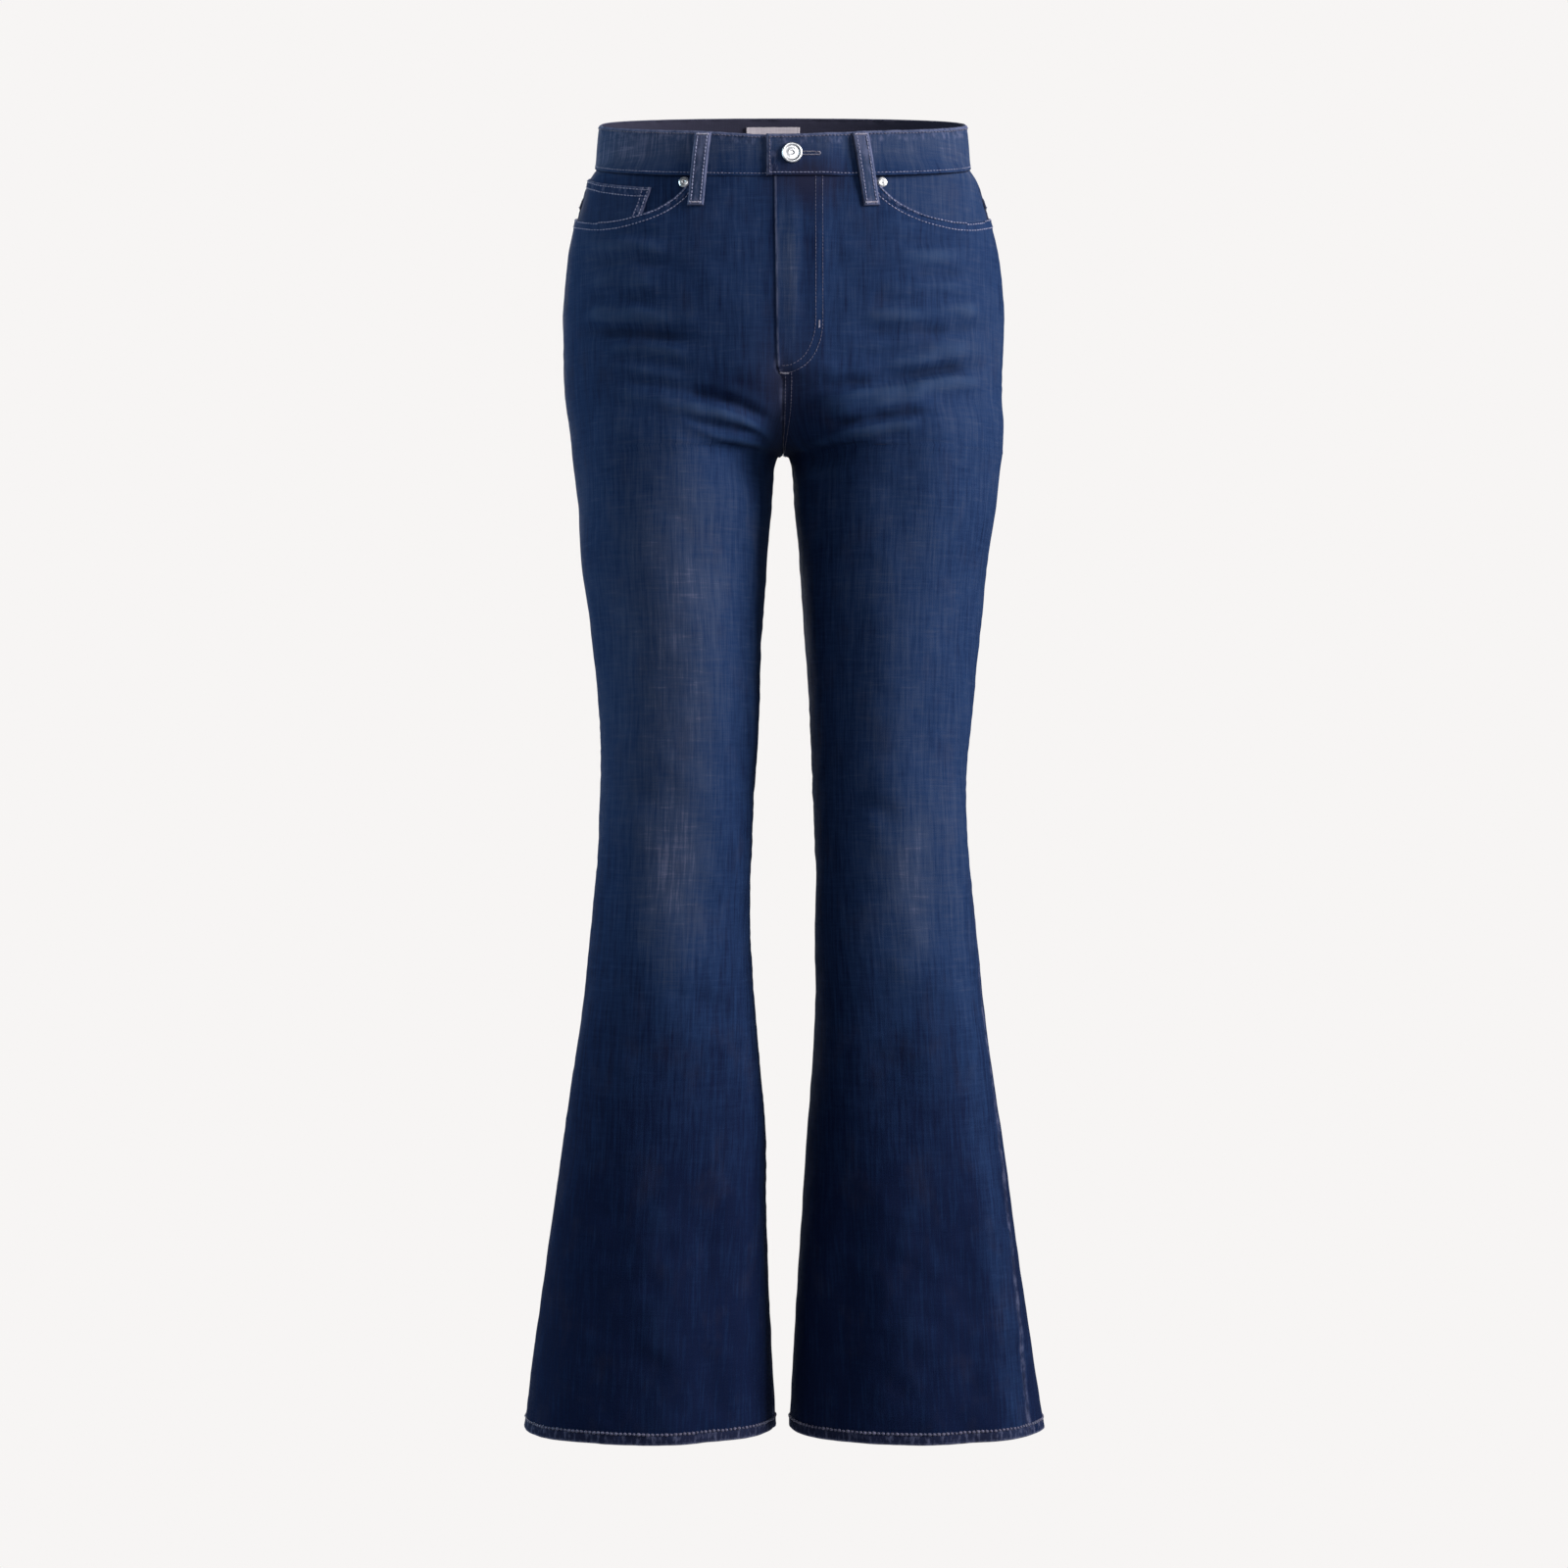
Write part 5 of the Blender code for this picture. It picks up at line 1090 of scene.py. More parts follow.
def makeFront(side):
    top = float(fromFront(0.0)) - band["gap"]
    mouthRows, flyRows, riseRows, flyRowsZ = 44, 22, 44, -0.152
    shares = edgedShares(legs["columns"])
    innerZ = np.concatenate([np.linspace(top, flyRowsZ, mouthRows + 1),
                             np.linspace(flyRowsZ, fly["joinedZ"], flyRows + 1)[1:],
                             alongRise(fly["joinedZ"], False, riseRows)[1:]])
    startD = frontEdge(side, innerZ)
    startD[-1] = halfGap
    mouthShare = 1.0 - (1.0 - np.arange(mouthRows) / mouthRows) ** 1.3
    mouthD, mouthZ = mouthPoint(mouthShare, halfGap)
    sideZ = np.linspace(mouthEndZ - halfGap, crotchZ, flyRows + riseRows + 1)
    legInner, legSide = legHeights()
    innerZ = np.concatenate([innerZ, legInner])
    startD = np.concatenate([startD, halfGap - twist(side, legInner)])
    endZ = np.concatenate([mouthZ, sideZ, legSide])
    lowSide = endZ[mouthRows:]
    endD = np.concatenate([mouthD, lengths(lowSide)[0] - twist(side, lowSide) - halfGap])
    d = startD[:, None] + (endD - startD)[:, None] * shares
    z = innerZ[:, None] + (endZ - innerZ)[:, None] * shares
    waist = fromFront(np.abs(d[0])) - band["gap"]
    z += (waist - z[0])[None] * np.clip(1.0 - np.arange(len(z)) / 6.3, 0.0, 1.0)[:, None]
    endFold = (np.arange(len(z)) < mouthRows + 1).astype(float)
    startFold = 2.0 * ((innerZ > fly["endZ"]) & (side == left))

    def bend(dd, zz):
        if side == right:
            return 0.0 * dd
        # The zip shows through the lap
        ends = smooth((zz + 0.18) / 0.025) * smooth((-0.045 - zz) / 0.03)
        return fly["zipBump"] * np.exp(-(((dd - 0.0085) / 0.006) ** 2)) * ends

    return makeCloth(f"frontCloth_{sideNames[side]}", side, d, z, flyRaise(d, z) if side == left else 0.0,
                     edges=("plain", "fold", startFold, endFold), plum=plumCast, bend=bend, **hemFold)


def makeBack(side):
    riseRows = 84
    shares = edgedShares(legs["columns"])
    innerZ = alongRise(float(yokePoint(1.0)[1]) - halfGap, True, riseRows)
    sideTop = float(yokePoint(0.0)[1]) - halfGap
    sideZ = np.linspace(sideTop, crotchZ, riseRows + 1)
    legInner, legSide = legHeights()
    endZ = np.concatenate([innerZ, legInner])
    endD = np.concatenate([lengths(innerZ)[1], lengths(legInner)[1] - twist(side, legInner) - halfGap])
    endD[riseRows] -= halfGap
    startZ = np.concatenate([sideZ, legSide])
    startD = lengths(startZ)[0] - twist(side, startZ) + halfGap
    d = startD[:, None] + (endD - startD)[:, None] * shares
    z = startZ[:, None] + (endZ - startZ)[:, None] * shares
    waistShare = (d[0] - d[0, 0]) / (d[0, -1] - d[0, 0])
    low = yokePoint(waistShare)[1] - halfGap
    z += (low - z[0])[None] * np.clip(1.0 - np.arange(len(z)) / 7.0, 0.0, 1.0)[:, None]
    return makeCloth(f"backCloth_{sideNames[side]}", side, d, z, edges=("seam", "fold", "seam", "seam"),
                     **hemFold)


def makeYoke(side):
    down = np.linspace(0.0, 1.0, 26)[:, None]
    share = edgedShares(74)[None, :]
    lowZ = yokePoint(share)[1]
    highZ = waistZ(lambda z: roundTheWaist(z, 1.0 + share), 0.0 * share)
    z = highZ - band["gap"] + (lowZ + form["seamGap"] - highZ) * down
    d = roundTheWaist(z, 1.0 + share + 0.0 * z) + np.where(share == 0, halfGap, 0.0)
    # Raised along its foot, where its allowance is folded under
    return makeCloth(f"yokeCloth_{sideNames[side]}", side, d, z, edges=("plain", "seam", "seam", "seam"),
                     bend=lambda dd, zz: 0.0006 * smooth((zz - 0.0095 - lowZ) / -0.0014))


def makeFacing(side):
    facing = {"start": mouth["start"] - 0.016, "depth": 0.075, "behindBand": 0.0045, "sewnIn": 0.003}
    depth = (facing["depth"] * np.linspace(0.0, 1.0, 40) - facing["behindBand"])[:, None]
    across = edgedShares(46, (0.0, 0.01, 0.025, 0.045))[None, :]
    z = sideWaistZ - depth + 0.0 * across
    for _ in range(settling):
        d = facing["start"] + (lengths(z)[0] + facing["sewnIn"] - facing["start"]) * across
        z = fromFront(d) - depth
    face = facingFace(d, z)
    atSide = smooth((d - lengths(z)[0] + 0.014) / 0.012)
    face = face + (-0.0021 + 0.0015 * (face + 0.0035) / 0.0025 - face) * atSide
    under = smooth((d - lengths(z)[0] + 0.001) / 0.0014) * 0.0012
    behind = smooth((0.003 - depth) / 0.0026) * np.maximum(face + 0.002, 0.0)
    return makeCloth(f"facingCloth_{sideNames[side]}", side, d, z, face - np.maximum(under, behind),
                     edges=("plain", "plain", "plain", "seam"), puckered=0.6,
                     paler={left: 0.16, right: -0.1}[side])


def facingFace(d, z):
    shown = smooth((0.8 - mouthReach(d, z)) / 0.8)
    return -0.0035 + 0.0025 * shown


coin = {"top": 0.0105, "depth": 0.057, "edgeTop": 0.112, "edgeBottom": 0.13, "cloth": 0.001, "clear": 0.0005}


def coinEdge(down):
    return coin["edgeTop"] + (coin["edgeBottom"] - coin["edgeTop"]) * down


def makeCoinPocket():
    down = np.linspace(0.0, 1.0, 40)[:, None]
    across = edgedShares(34, (0.0, 0.01, 0.025, 0.045))[None, :]
    depth = coin["top"] + coin["depth"] * down
    start = coinEdge(down)
    z = sideWaistZ - depth + 0.0 * across
    for _ in range(settling):
        d = start + (lengths(z)[0] - 0.001 - start) * across
        z = fromFront(d) - depth
    return makeCloth("coinPocketCloth", right, d, z, facingFace(d, z) + coin["clear"] + coin["cloth"],
                     thickness=coin["cloth"], edges=("fold", "plain", "fold", "plain"), foldWidth=0.0078,
                     foldRaise=0.0002, plum=0.16, paler=-0.07)


def makeBag(side):
    bag = {"start": 0.048, "depth": 0.165, "behindBand": 0.0045, "cloth": 0.0014, "short": 0.006,
           "rounded": 0.16, "sunk": 0.0055}
    down = np.linspace(0.0, 1.0, 50)[:, None]
    across = np.linspace(-1.0, 1.0, 44)[None, :]
    rounded = bag["depth"] * (1 - bag["rounded"] * across**2)
    z = sideWaistZ - rounded * down
    for _ in range(settling):
        end = lengths(z)[0] - bag["short"]
        d = (bag["start"] + end) / 2 + across * (end - bag["start"]) / 2
        z = fromFront(d) + bag["behindBand"] - rounded * down
    return makeCloth(f"bagCloth_{sideNames[side]}", side, d, z, -bag["sunk"], thickness=bag["cloth"],
                     kind="pocketing", edges=("plain", "fold", "fold", "fold"), foldWidth=0.006,
                     foldRaise=0.0002)


def makeFlyStrip(name, edges, endZ, face, thickness, kind, count):
    down = np.linspace(0.0, 1.0, 56)[:, None]
    d = np.linspace(*edges, count)[None, :] + 0.0 * down
    top = fromFront(np.abs(d))
    return makeCloth(name, left, d, top - form["seamGap"] + (endZ - top) * down, face, thickness=thickness,
                     kind=kind, edges=("plain", "plain", "plain", "fold"), puckered=0.5, foldRaise=0.0)


backPocket = {"belowYoke": 0.024, "centre": 0.094, "halfTop": 0.066, "halfBottom": 0.06, "side": 0.13,
              "point": 0.147, "clear": 0.00095}


def backPocketPlace(down, across):
    half = backPocket["halfTop"] + (backPocket["halfBottom"] - backPocket["halfTop"]) * down
    deep = backPocket["point"] + (backPocket["side"] - backPocket["point"]) * np.abs(across)
    fromCentre = backPocket["centre"] + across * half
    z = float(yokePoint(0.5)[1]) + 0.0 * fromCentre * deep
    for _ in range(settling):
        front, whole = lengths(z)
        z = yokePoint(1.0 - fromCentre / (whole - front))[1] - backPocket["belowYoke"] - deep * down
    return lengths(z)[1] - fromCentre, z


def makeBackPocket(side):
    down = edgedShares(60, (0.0, 0.006, 0.014, 0.026))[:, None]
    across = (2 * edgedShares(54, (0.0, 0.006, 0.014, 0.026)) - 1)[None, :]
    d, z = backPocketPlace(down, across)
    # The pouch stands a little off the seat, and its mouth gapes most in the middle
    gape = 0.001 * (1 - across**2) * np.exp(-((down / 0.1) ** 2))
    gape = gape + 0.0007 * (1 - across**2) * np.sin(math.pi * down)
    return makeCloth(f"backPocketCloth_{sideNames[side]}", side, d, z, backPocket["clear"] + form["cloth"],
                     edges=("fold",) * 4, foldWidth=0.0085, foldRaise=0.0003, bend=lambda dd, zz: gape)


def bandTop(d):
    return band["height"] - band["dip"] * smooth(1.0 - np.abs(d) / band["dipWidth"])


def bandPlaces(level, count=560):
    # The band's line at one level, from its left end round the back to the end that lies underneath
    seamFront = float(lengths(fromFront(0.15))[0])
    levels = np.asarray(level, float)

    def half(distance, share):
        def where(z):
            return distance + (roundTheWaist(z, share) - distance) * smooth((distance - 0.055) / 0.06)

        z = waistZ(where, 0.0 * distance)
        z = waistZ(where, band["gap"] + (bandTop(where(z)) - band["gap"]) * levels)
        return where(z), z

    steps = np.linspace(-band["overlap"], seamFront, count // 4)
    leftFront = half(steps, steps / seamFront)
    rear = np.linspace(1.0, 2.0, count // 4 + 1)[1:]
    leftBack = half(np.full(len(rear), 1.0), rear)
    rightBack = [line[-2::-1] for line in leftBack]
    steps = np.linspace(seamFront, -band["underlap"], count // 4)
    parts = (leftFront, leftBack, rightBack, half(steps, steps / seamFront))
    d, z = (np.concatenate([part[k] for part in parts]) for k in (0, 1))
    return np.repeat((left, left, right, right), [len(part[0]) for part in parts]), d, z


def bandOut(isLeft, d):
    # The band's outer face, raised where its left end laps over the right one
    lapped = band["raise"] * smooth((band["fade"] - d) / (band["fade"] - band["full"]))
    return band["proud"] + np.where(isLeft, lapped, 0.0)


button = {"x": 0.0072, "height": 0.018}  # its middle, from the centre front and above the waist seam


def buttonPlace():
    z = fromFront(button["x"], button["height"])
    place = onCloth(left, z, button["x"])
    return Vector(place), Vector(formNormal(left, z, button["x"]))


def makeWaistband():
    rows = [bandPlaces(level) for level in 1.0 - edgedShares(19, (0.0, 0.03, 0.07, 0.12))]
    sides = rows[0][0]
    d, z = (np.array([row[k] for row in rows]) for k in (1, 2))
    middle = (len(rows) - 1) // 2
    path = along3d(np.stack([onForm(left, zz, dd) * (s, 1, 1)
                             for s, dd, zz in zip(sides, d[middle], z[middle])])[None], 1)[0]
    # Slightly fuller between the two rows of stitches
    full = 0.00035 * np.sin(math.pi * np.linspace(0, 1, len(rows)))[:, None] + 0.0 * d
    return makeCloth("waistbandCloth", np.broadcast_to(sides, d.shape), d, z,
                     bandOut((sides == left)[None, :], d), thickness=band["cloth"],
                     edges=("fold", "plain", "fold", "fold"), foldWidth=0.0034, foldRaise=0.00015,
                     foldInside=-0.00015, uv=(path[None] + 0.0 * d, z), plum=plumCast,
                     bend=lambda dd, zz: full)


loopList = [  # name, side, on the back, distance of its middle from the centre at its top and foot
    ("front_right", right, False, 0.0655, 0.072),
    ("front_left", left, False, 0.0635, 0.073),
    ("back_right", right, True, 0.118, 0.118),
    ("back_left", left, True, 0.118, 0.118),
    ("centre_back", left, True, 0.0, 0.0),
]
loopShape = {"width": 0.0125, "cloth": 0.0016}
loopBends = np.array([  # height above the waist seam, and how far it stands off
    (-0.024, 0.0006), (-0.017, 0.0007), (-0.007, 0.0017), (0.003, 0.0026), (0.018, 0.0031),
    (0.03, 0.0024), (0.0345, 0.0011)])


def loopPlace(spec, height, across):
    _, _, onBack, top, foot = spec
    share = (height - loopBends[0, 0]) / (loopBends[-1, 0] - loopBends[0, 0])
    where = foot + (top - foot) * share + across * loopShape["width"] / 2
    z = fromBack(where, height) if onBack else fromFront(where, height)
    return (lengths(z)[1] - where if onBack else where), z


def makeLoop(spec):
    height = np.linspace(loopBends[0, 0], loopBends[-1, 0], 52)[:, None]
    across = (2 * edgedShares(15, (0.0, 0.05, 0.11)) - 1)[None, :]
    d, z = loopPlace(spec, height, across + 0.0 * height)
    line = roundedLine(loopBends, 8)
    off = np.interp(height, line[:, 0], line[:, 1]) + 0.0003
    crown = 0.0003 * (1 - across**2) + 0.0 * height
    return makeCloth(f"loopCloth_{spec[0]}", spec[1], d, z, off + loopShape["cloth"],
                     thickness=loopShape["cloth"], kind="loopDenim", edges=("fold",) * 4, foldWidth=0.003,
                     foldRaise=0.0001, puckered=0.35, bend=lambda dd, zz: crown, uv=(d, z))


def makeLabel():
    label = {"centre": -0.009, "width": 0.046, "drop": 0.007, "height": 0.024, "cloth": 0.001,
             "clear": 0.0005}
    q = (np.linspace(-0.5, 0.5, 40) * label["width"] + label["centre"])[None, :]
    below = (label["drop"] + label["height"] * np.linspace(0.0, 1.0, 22))[:, None]
    z = fromBack(np.abs(q) + 0.0 * below, band["height"] - below)
    d = lengths(z)[1] - q
    return makeCloth("labelCloth", left, d, z, band["proud"] - band["cloth"] - label["clear"],
                     thickness=label["cloth"], kind="label", edges=("plain", "plain", "fold", "fold"),
                     foldWidth=0.004, foldRaise=-0.0001, puckered=0.3)


allowance = {"half": 0.007, "riseHalf": 0.005, "sunk": 0.0016, "cloth": 0.001, "sideTopZ": -0.12,
             "inseamTopZ": -0.3, "rowStep": 0.008}


def makeSeamStrip(name, side, middle, z, half=allowance["half"]):
    # The allowances pressed open behind a seam
    across = np.linspace(-half, half, 7)[None, :]
    d = middle[:, None] + across
    return makeCloth(name, side, d, z[:, None] + 0.0 * across, -allowance["sunk"],
                     thickness=allowance["cloth"], edges=("plain",) * 4, puckered=0.0, allInside=True)


fronts = {side: makeFront(side) for side in (left, right)}
backs = {side: makeBack(side) for side in (left, right)}
print("legs made")
yokes = {side: makeYoke(side) for side in (left, right)}
facings = {side: makeFacing(side) for side in (left, right)}
bags = {side: makeBag(side) for side in (left, right)}
coinPocket = makeCoinPocket()
flyShield = makeFlyStrip("flyShieldCloth", (-0.014, 0.036), -0.188, -0.0019, form["cloth"], "denim", 24)
zipTape = makeFlyStrip("zipTape", (0.0026, 0.022), -0.176, -0.0002, 0.001, "tape", 12)
backPockets = {side: makeBackPocket(side) for side in (left, right)}
waistband = makeWaistband()
loops = [makeLoop(spec) for spec in loopList]
waistLabel = makeLabel()
print("cloth pieces made")

stripHeights, inseamHeights = (np.arange(allowance[top], hemZ + 0.004, -allowance["rowStep"])
                               for top in ("sideTopZ", "inseamTopZ"))
strips = {
    side: [
        makeSeamStrip(f"sideSeamStrip_{sideNames[side]}", side,
                      lengths(stripHeights)[0] - twist(side, stripHeights), stripHeights),
        makeSeamStrip(f"inseamStrip_{sideNames[side]}", side, -twist(side, inseamHeights), inseamHeights),
    ]
    for side in (left, right)
}
backSeamZ = float(yokePoint(1.0)[1])
frontRise = alongRise(-0.204, False, 40)[:-1]
backRise = np.concatenate([np.linspace(float(fromBack(0.0)) - 0.001, backSeamZ + 0.006, 10),
                           alongRise(backSeamZ, True, 70)[:-2]])
strips[left].append(makeSeamStrip("frontRiseStrip", left, 0.0 * frontRise, frontRise,
                                  allowance["riseHalf"]))
backRiseStrip = makeSeamStrip("backRiseStrip", left, lengths(backRise)[1], backRise,
                              allowance["riseHalf"])
print("seam allowances made")


# Threads. Each tree turns drawn paths into stitches or into a sewn cord.
threads = {"pitch": 0.0031, "stitch": 0.0028, "width": 0.001, "uneven": 0.16, "seed": 5}


def newThreadTree(name, extra):
    return newGroup(name, [("Paths", "Geometry", None), *extra], [("Threads", "Geometry")], "GeometryNodeTree")


def finishThreadTree(tree, outs, made, finish):
    real = addNode(tree, "GeometryNodeRealizeInstances", {0: made})
    even = addNode(tree, "GeometryNodeSetShadeSmooth", {0: real.outputs[0]})
    dyed = addNode(tree, "GeometryNodeSetMaterial", {"Geometry": even.outputs[0], "Material": finish})
    feed(tree, outs["Threads"], dyed.outputs[0])
    return tree


def makeStitchTree():
    tree, ins, outs = newThreadTree("rowOfStitches", [
        ("Pitch", "Float", 0.003), ("Stitch Length", "Float", 0.0025), ("Thread Width", "Float", 0.0006),
        ("Unevenness", "Float", 0.15), ("Seed", "Int", 5), ("Finish", "Material", None)])
    curve = addNode(tree, "GeometryNodeMeshToCurve", {"Mesh": ins["Paths"]})
    spaced = addNode(tree, "GeometryNodeResampleCurve", {"Curve": curve.outputs[0], "Length": ins["Pitch"]},
                     mode="LENGTH")
    ball = addNode(tree, "GeometryNodeMeshUVSphere", {"Segments": 6, "Rings": 4, "Radius": 0.5})
    size = addNode(tree, "ShaderNodeCombineXYZ", {
        "X": ins["Stitch Length"], "Y": ins["Thread Width"], "Z": ins["Thread Width"]})
    shaped = addNode(tree, "GeometryNodeTransform", {
        "Geometry": ball.outputs["Mesh"], "Scale": size.outputs[0]})
    tangent = addNode(tree, "GeometryNodeInputTangent")
    turned = addNode(tree, "FunctionNodeAlignRotationToVector", {"Vector": tangent.outputs[0]}, axis="X")
    chance = addNode(tree, "FunctionNodeRandomValue", {
        2: mathOf(tree, "SUBTRACT", 1.0, ins["Unevenness"]), 3: mathOf(tree, "ADD", 1.0, ins["Unevenness"]),
        "Seed": ins["Seed"]}, data_type="FLOAT")
    sewn = addNode(tree, "GeometryNodeInstanceOnPoints", {
        "Points": spaced.outputs[0], "Instance": shaped.outputs[0], "Rotation": turned.outputs[0],
        "Scale": chance.outputs[1]})
    return finishThreadTree(tree, outs, sewn.outputs[0], ins["Finish"])


def makeCordTree():
    tree, ins, outs = newThreadTree("sewnCord", [
        ("Thread Width", "Float", 0.0006), ("Finish", "Material", None)])
    curve = addNode(tree, "GeometryNodeMeshToCurve", {"Mesh": ins["Paths"]})
    ring = addNode(tree, "GeometryNodeCurvePrimitiveCircle", {
        "Resolution": 5, "Radius": mathOf(tree, "MULTIPLY", ins["Thread Width"], 0.5)}, mode="RADIUS")
    tube = addNode(tree, "GeometryNodeCurveToMesh", {
        "Curve": curve.outputs[0], "Profile Curve": ring.outputs[0], "Fill Caps": True})
    return finishThreadTree(tree, outs, tube.outputs[0], ins["Finish"])


stitchTree, cordTree = makeStitchTree(), makeCordTree()


def sewPaths(name, paths, tree, kind="thread", **settings):
    points, edges = [], []
    for path in paths:
        first = len(points)
        points += [tuple(float(c) for c in p) for p in path]
        edges += [(k, k + 1) for k in range(first, len(points) - 1)]
    mesh = bpy.data.meshes.new(name + "Paths")
    mesh.from_pydata(points, edges, [])
    source = bpy.data.objects.new(name + "Paths", mesh)
    scene.collection.objects.link(source)
    work = source.modifiers.new("sewing", "NODES")
    work.node_group = tree
    values = {"Finish": materials[kind]}
    values.update((label.replace("_", " "), value) for label, value in settings.items())
    for item in tree.interface.items_tree:
        if item.in_out == "INPUT" and item.name in values:
            work[item.identifier] = values[item.name]
    graph = bpy.context.evaluated_depsgraph_get()
    made = bpy.data.meshes.new_from_object(source.evaluated_get(graph))
    source.modifiers.remove(work)
    bpy.data.objects.remove(source)
    return addPiece(name, made, kind)


def stitches(name, paths, kind="thread", **changes):
    values = {"Pitch": threads["pitch"], "Stitch_Length": threads["stitch"], "Thread_Width": threads["width"],
              "Unevenness": threads["uneven"], "Seed": threads["seed"], **changes}
    return sewPaths(name, paths, stitchTree, kind, **values)


surfaces = {}  # by piece, for laying stitches on it


def surfaceOf(piece):
    if piece.name not in surfaces:
        surfaces[piece.name] = BVHTree.FromPolygons([v.co for v in piece.data.vertices],
                                                    [p.vertices for p in piece.data.polygons])
    return surfaces[piece.name]


def laidOn(piece, side, d, z, out, above=0.0001, spacing=0.0015):
    # A line on the cloth, settled onto that piece's outer face
    d, z, out = np.broadcast_arrays(*(np.asarray(a, float) for a in (d, z, out)))
    rough = onForm(side, z, d)
    run = runOf(np.linalg.norm(np.diff(rough, axis=0), axis=1))
    even = np.linspace(0.0, run[-1], max(2, int(run[-1] / spacing)))
    d, z, out = (np.interp(even, run, a) for a in (d, z, out))
    path = []
    for point, normal in zip(onCloth(side, z, d, out + 0.0012), formNormal(side, z, d)):
        found, facing, _, _ = surfaceOf(piece).find_nearest(Vector(point))
        normal = Vector(normal)
        path.append(found + (normal if facing.dot(normal) < 0.3 else facing) * above)
    return path


def zigzag(piece, side, d, z, out, length, width, turns, acrossWay=False):
    # A bartack: dense to and fro stitching over a short line
    t = np.linspace(-0.5, 0.5, turns)
    swing = np.where(np.arange(turns) % 2 == 0, -0.5, 0.5) * width
    if acrossWay:
        return laidOn(piece, side, d + t * length, z + swing, out, 0.0002, 0.0004)
    return laidOn(piece, side, d + swing, z + t * length, out, 0.0002, 0.0004)


seam = {  # rows of stitches, by how far each lies from its seam or edge
    "mouthRows": (0.0017, 0.0076), "flyRows": (0.0, 0.0058), "frontRiseRows": (0.0018, 0.007),
    "backRiseRows": (0.0018, 0.0074), "yokeRows": (0.0018, 0.0076), "flyWidth": 0.0324, "flyFootZ": -0.2035,
}


def flyCurve(inset):
    # The fly's curved double row: straight down, then round to its foot
    width = seam["flyWidth"] - inset
    turns = np.linspace(0.0, math.pi / 2, 24)
    footZ = seam["flyFootZ"] + inset
    topZ = float(fromFront(width)) - 0.001
    bendZ = -0.16 + inset * 0.3
    d = np.concatenate([[width, width], width * np.cos(turns[1:]) ** 0.85])
    z = np.concatenate([[topZ, bendZ], bendZ + (footZ - bendZ) * np.sin(turns[1:])])
    return d, z


def frontStitchPaths(side):
    piece = fronts[side]
    paths = []
    for inset in seam["mouthRows"]:
        d, z = mouthPoint(np.linspace(0.0, 1.0, 60), inset)
        inside = z < fromFront(d) - 0.001
        paths.append(laidOn(piece, side, d[inside], z[inside], 0.0))
    return paths


def hemStitchPaths(side):
    z = np.full(160, hemZ + hemFold["foldWidth"])
    front, whole = (float(a[0]) for a in lengths(z))
    turned = float(twist(side, z)[0])
    return [laidOn(piece, side, np.linspace(start + 0.001, end - 0.001, 160) - turned, z, 0.0006)
            for piece, start, end in ((fronts[side], 0.0, front), (backs[side], front, whole))]


def flyStitchPaths():
    piece, curves = fronts[left], [flyCurve(inset) for inset in seam["flyRows"]]
    z = alongRise(-0.2045, False, 60)[:-2]
    return ([laidOn(piece, left, d, curveZ, flyRaise(d, curveZ)) for d, curveZ in curves]
            + [laidOn(piece, left, np.full(len(z), d), z, 0.0) for d in seam["frontRiseRows"]])


def backStitchPaths(side):
    z = alongRise(float(yokePoint(1.0)[1]) - 0.001, True, 120)[:-2]
    return [laidOn(backs[side], side, lengths(z)[1] - inset, z, 0.0) for inset in seam["backRiseRows"]]


def yokeStitchPaths(side):
    d, z = yokePoint(np.linspace(0.005, 0.995, 80))
    paths = [laidOn(yokes[side], side, d, z + up, 0.0006) for up in seam["yokeRows"]]
    for inset in seam["backRiseRows"] if side == left else ():
        z = np.linspace(float(fromBack(inset)) - 0.001, float(yokePoint(1.0)[1]) + 0.001, 30)
        paths.append(laidOn(yokes[side], side, lengths(z)[1] - inset, z, 0.0006))
    return paths


def bandStitchPaths(level):
    paths = []
    sides, d, z = bandPlaces(level)
    for side in (left, right):
        shown = (sides == side) & (d > (-band["overlap"] + 0.002 if side == left else 0.01))
        paths.append(laidOn(waistband, side, d[shown], z[shown], bandOut(side == left, d[shown])))
    if level > 0.5:  # the top row turns down the band's end
        d = np.full(20, -band["overlap"] + 0.0022)
        z = fromFront(d, np.linspace(0.0022, float(bandTop(np.array(0.0))) - 0.0022, 20))
        paths.append(laidOn(waistband, left, d, z, band["proud"] + band["raise"]))
    return paths


def backPocketPaths(side):
    paths = []
    for inset in (0.0018, 0.0078):
        half = backPocket["halfTop"]
        down = np.concatenate([np.linspace(0.004, 1 - inset / 0.13, 40), np.full(40, 1 - inset / 0.147),
                               np.linspace(1 - inset / 0.13, 0.004, 40)])
        reach = 1 - inset / half
        across = np.concatenate([np.full(40, -reach), np.linspace(-reach, reach, 40), np.full(40, reach)])
        d, z = backPocketPlace(down, across)
        paths.append(laidOn(backPockets[side], side, d, z, 0.0026))
    for drop in (0.002, 0.0125):
        d, z = backPocketPlace(np.full(50, drop / 0.14), np.linspace(-0.965, 0.965, 50))
        paths.append(laidOn(backPockets[side], side, d, z, 0.0032))
    return paths


def coinPaths():
    def row(d, z):
        return laidOn(coinPocket, right, d, z, facingFace(d, z) + 0.002)

    paths = []
    for inset in (0.0022, 0.0078):
        d = np.linspace(coinEdge(inset / coin["depth"]) + 0.0016, 0.192, 40)
        z = fromFront(d) - coin["top"] - inset
        inside = d < lengths(z)[0] - 0.003
        paths.append(row(d[inside], z[inside]))
    for inset in (0.0016, 0.0066):
        depth = np.linspace(0.0115, 0.05, 40)
        d = coinEdge((depth - coin["top"]) / coin["depth"]) + inset
        paths.append(row(d, fromFront(d) - depth))
    return paths


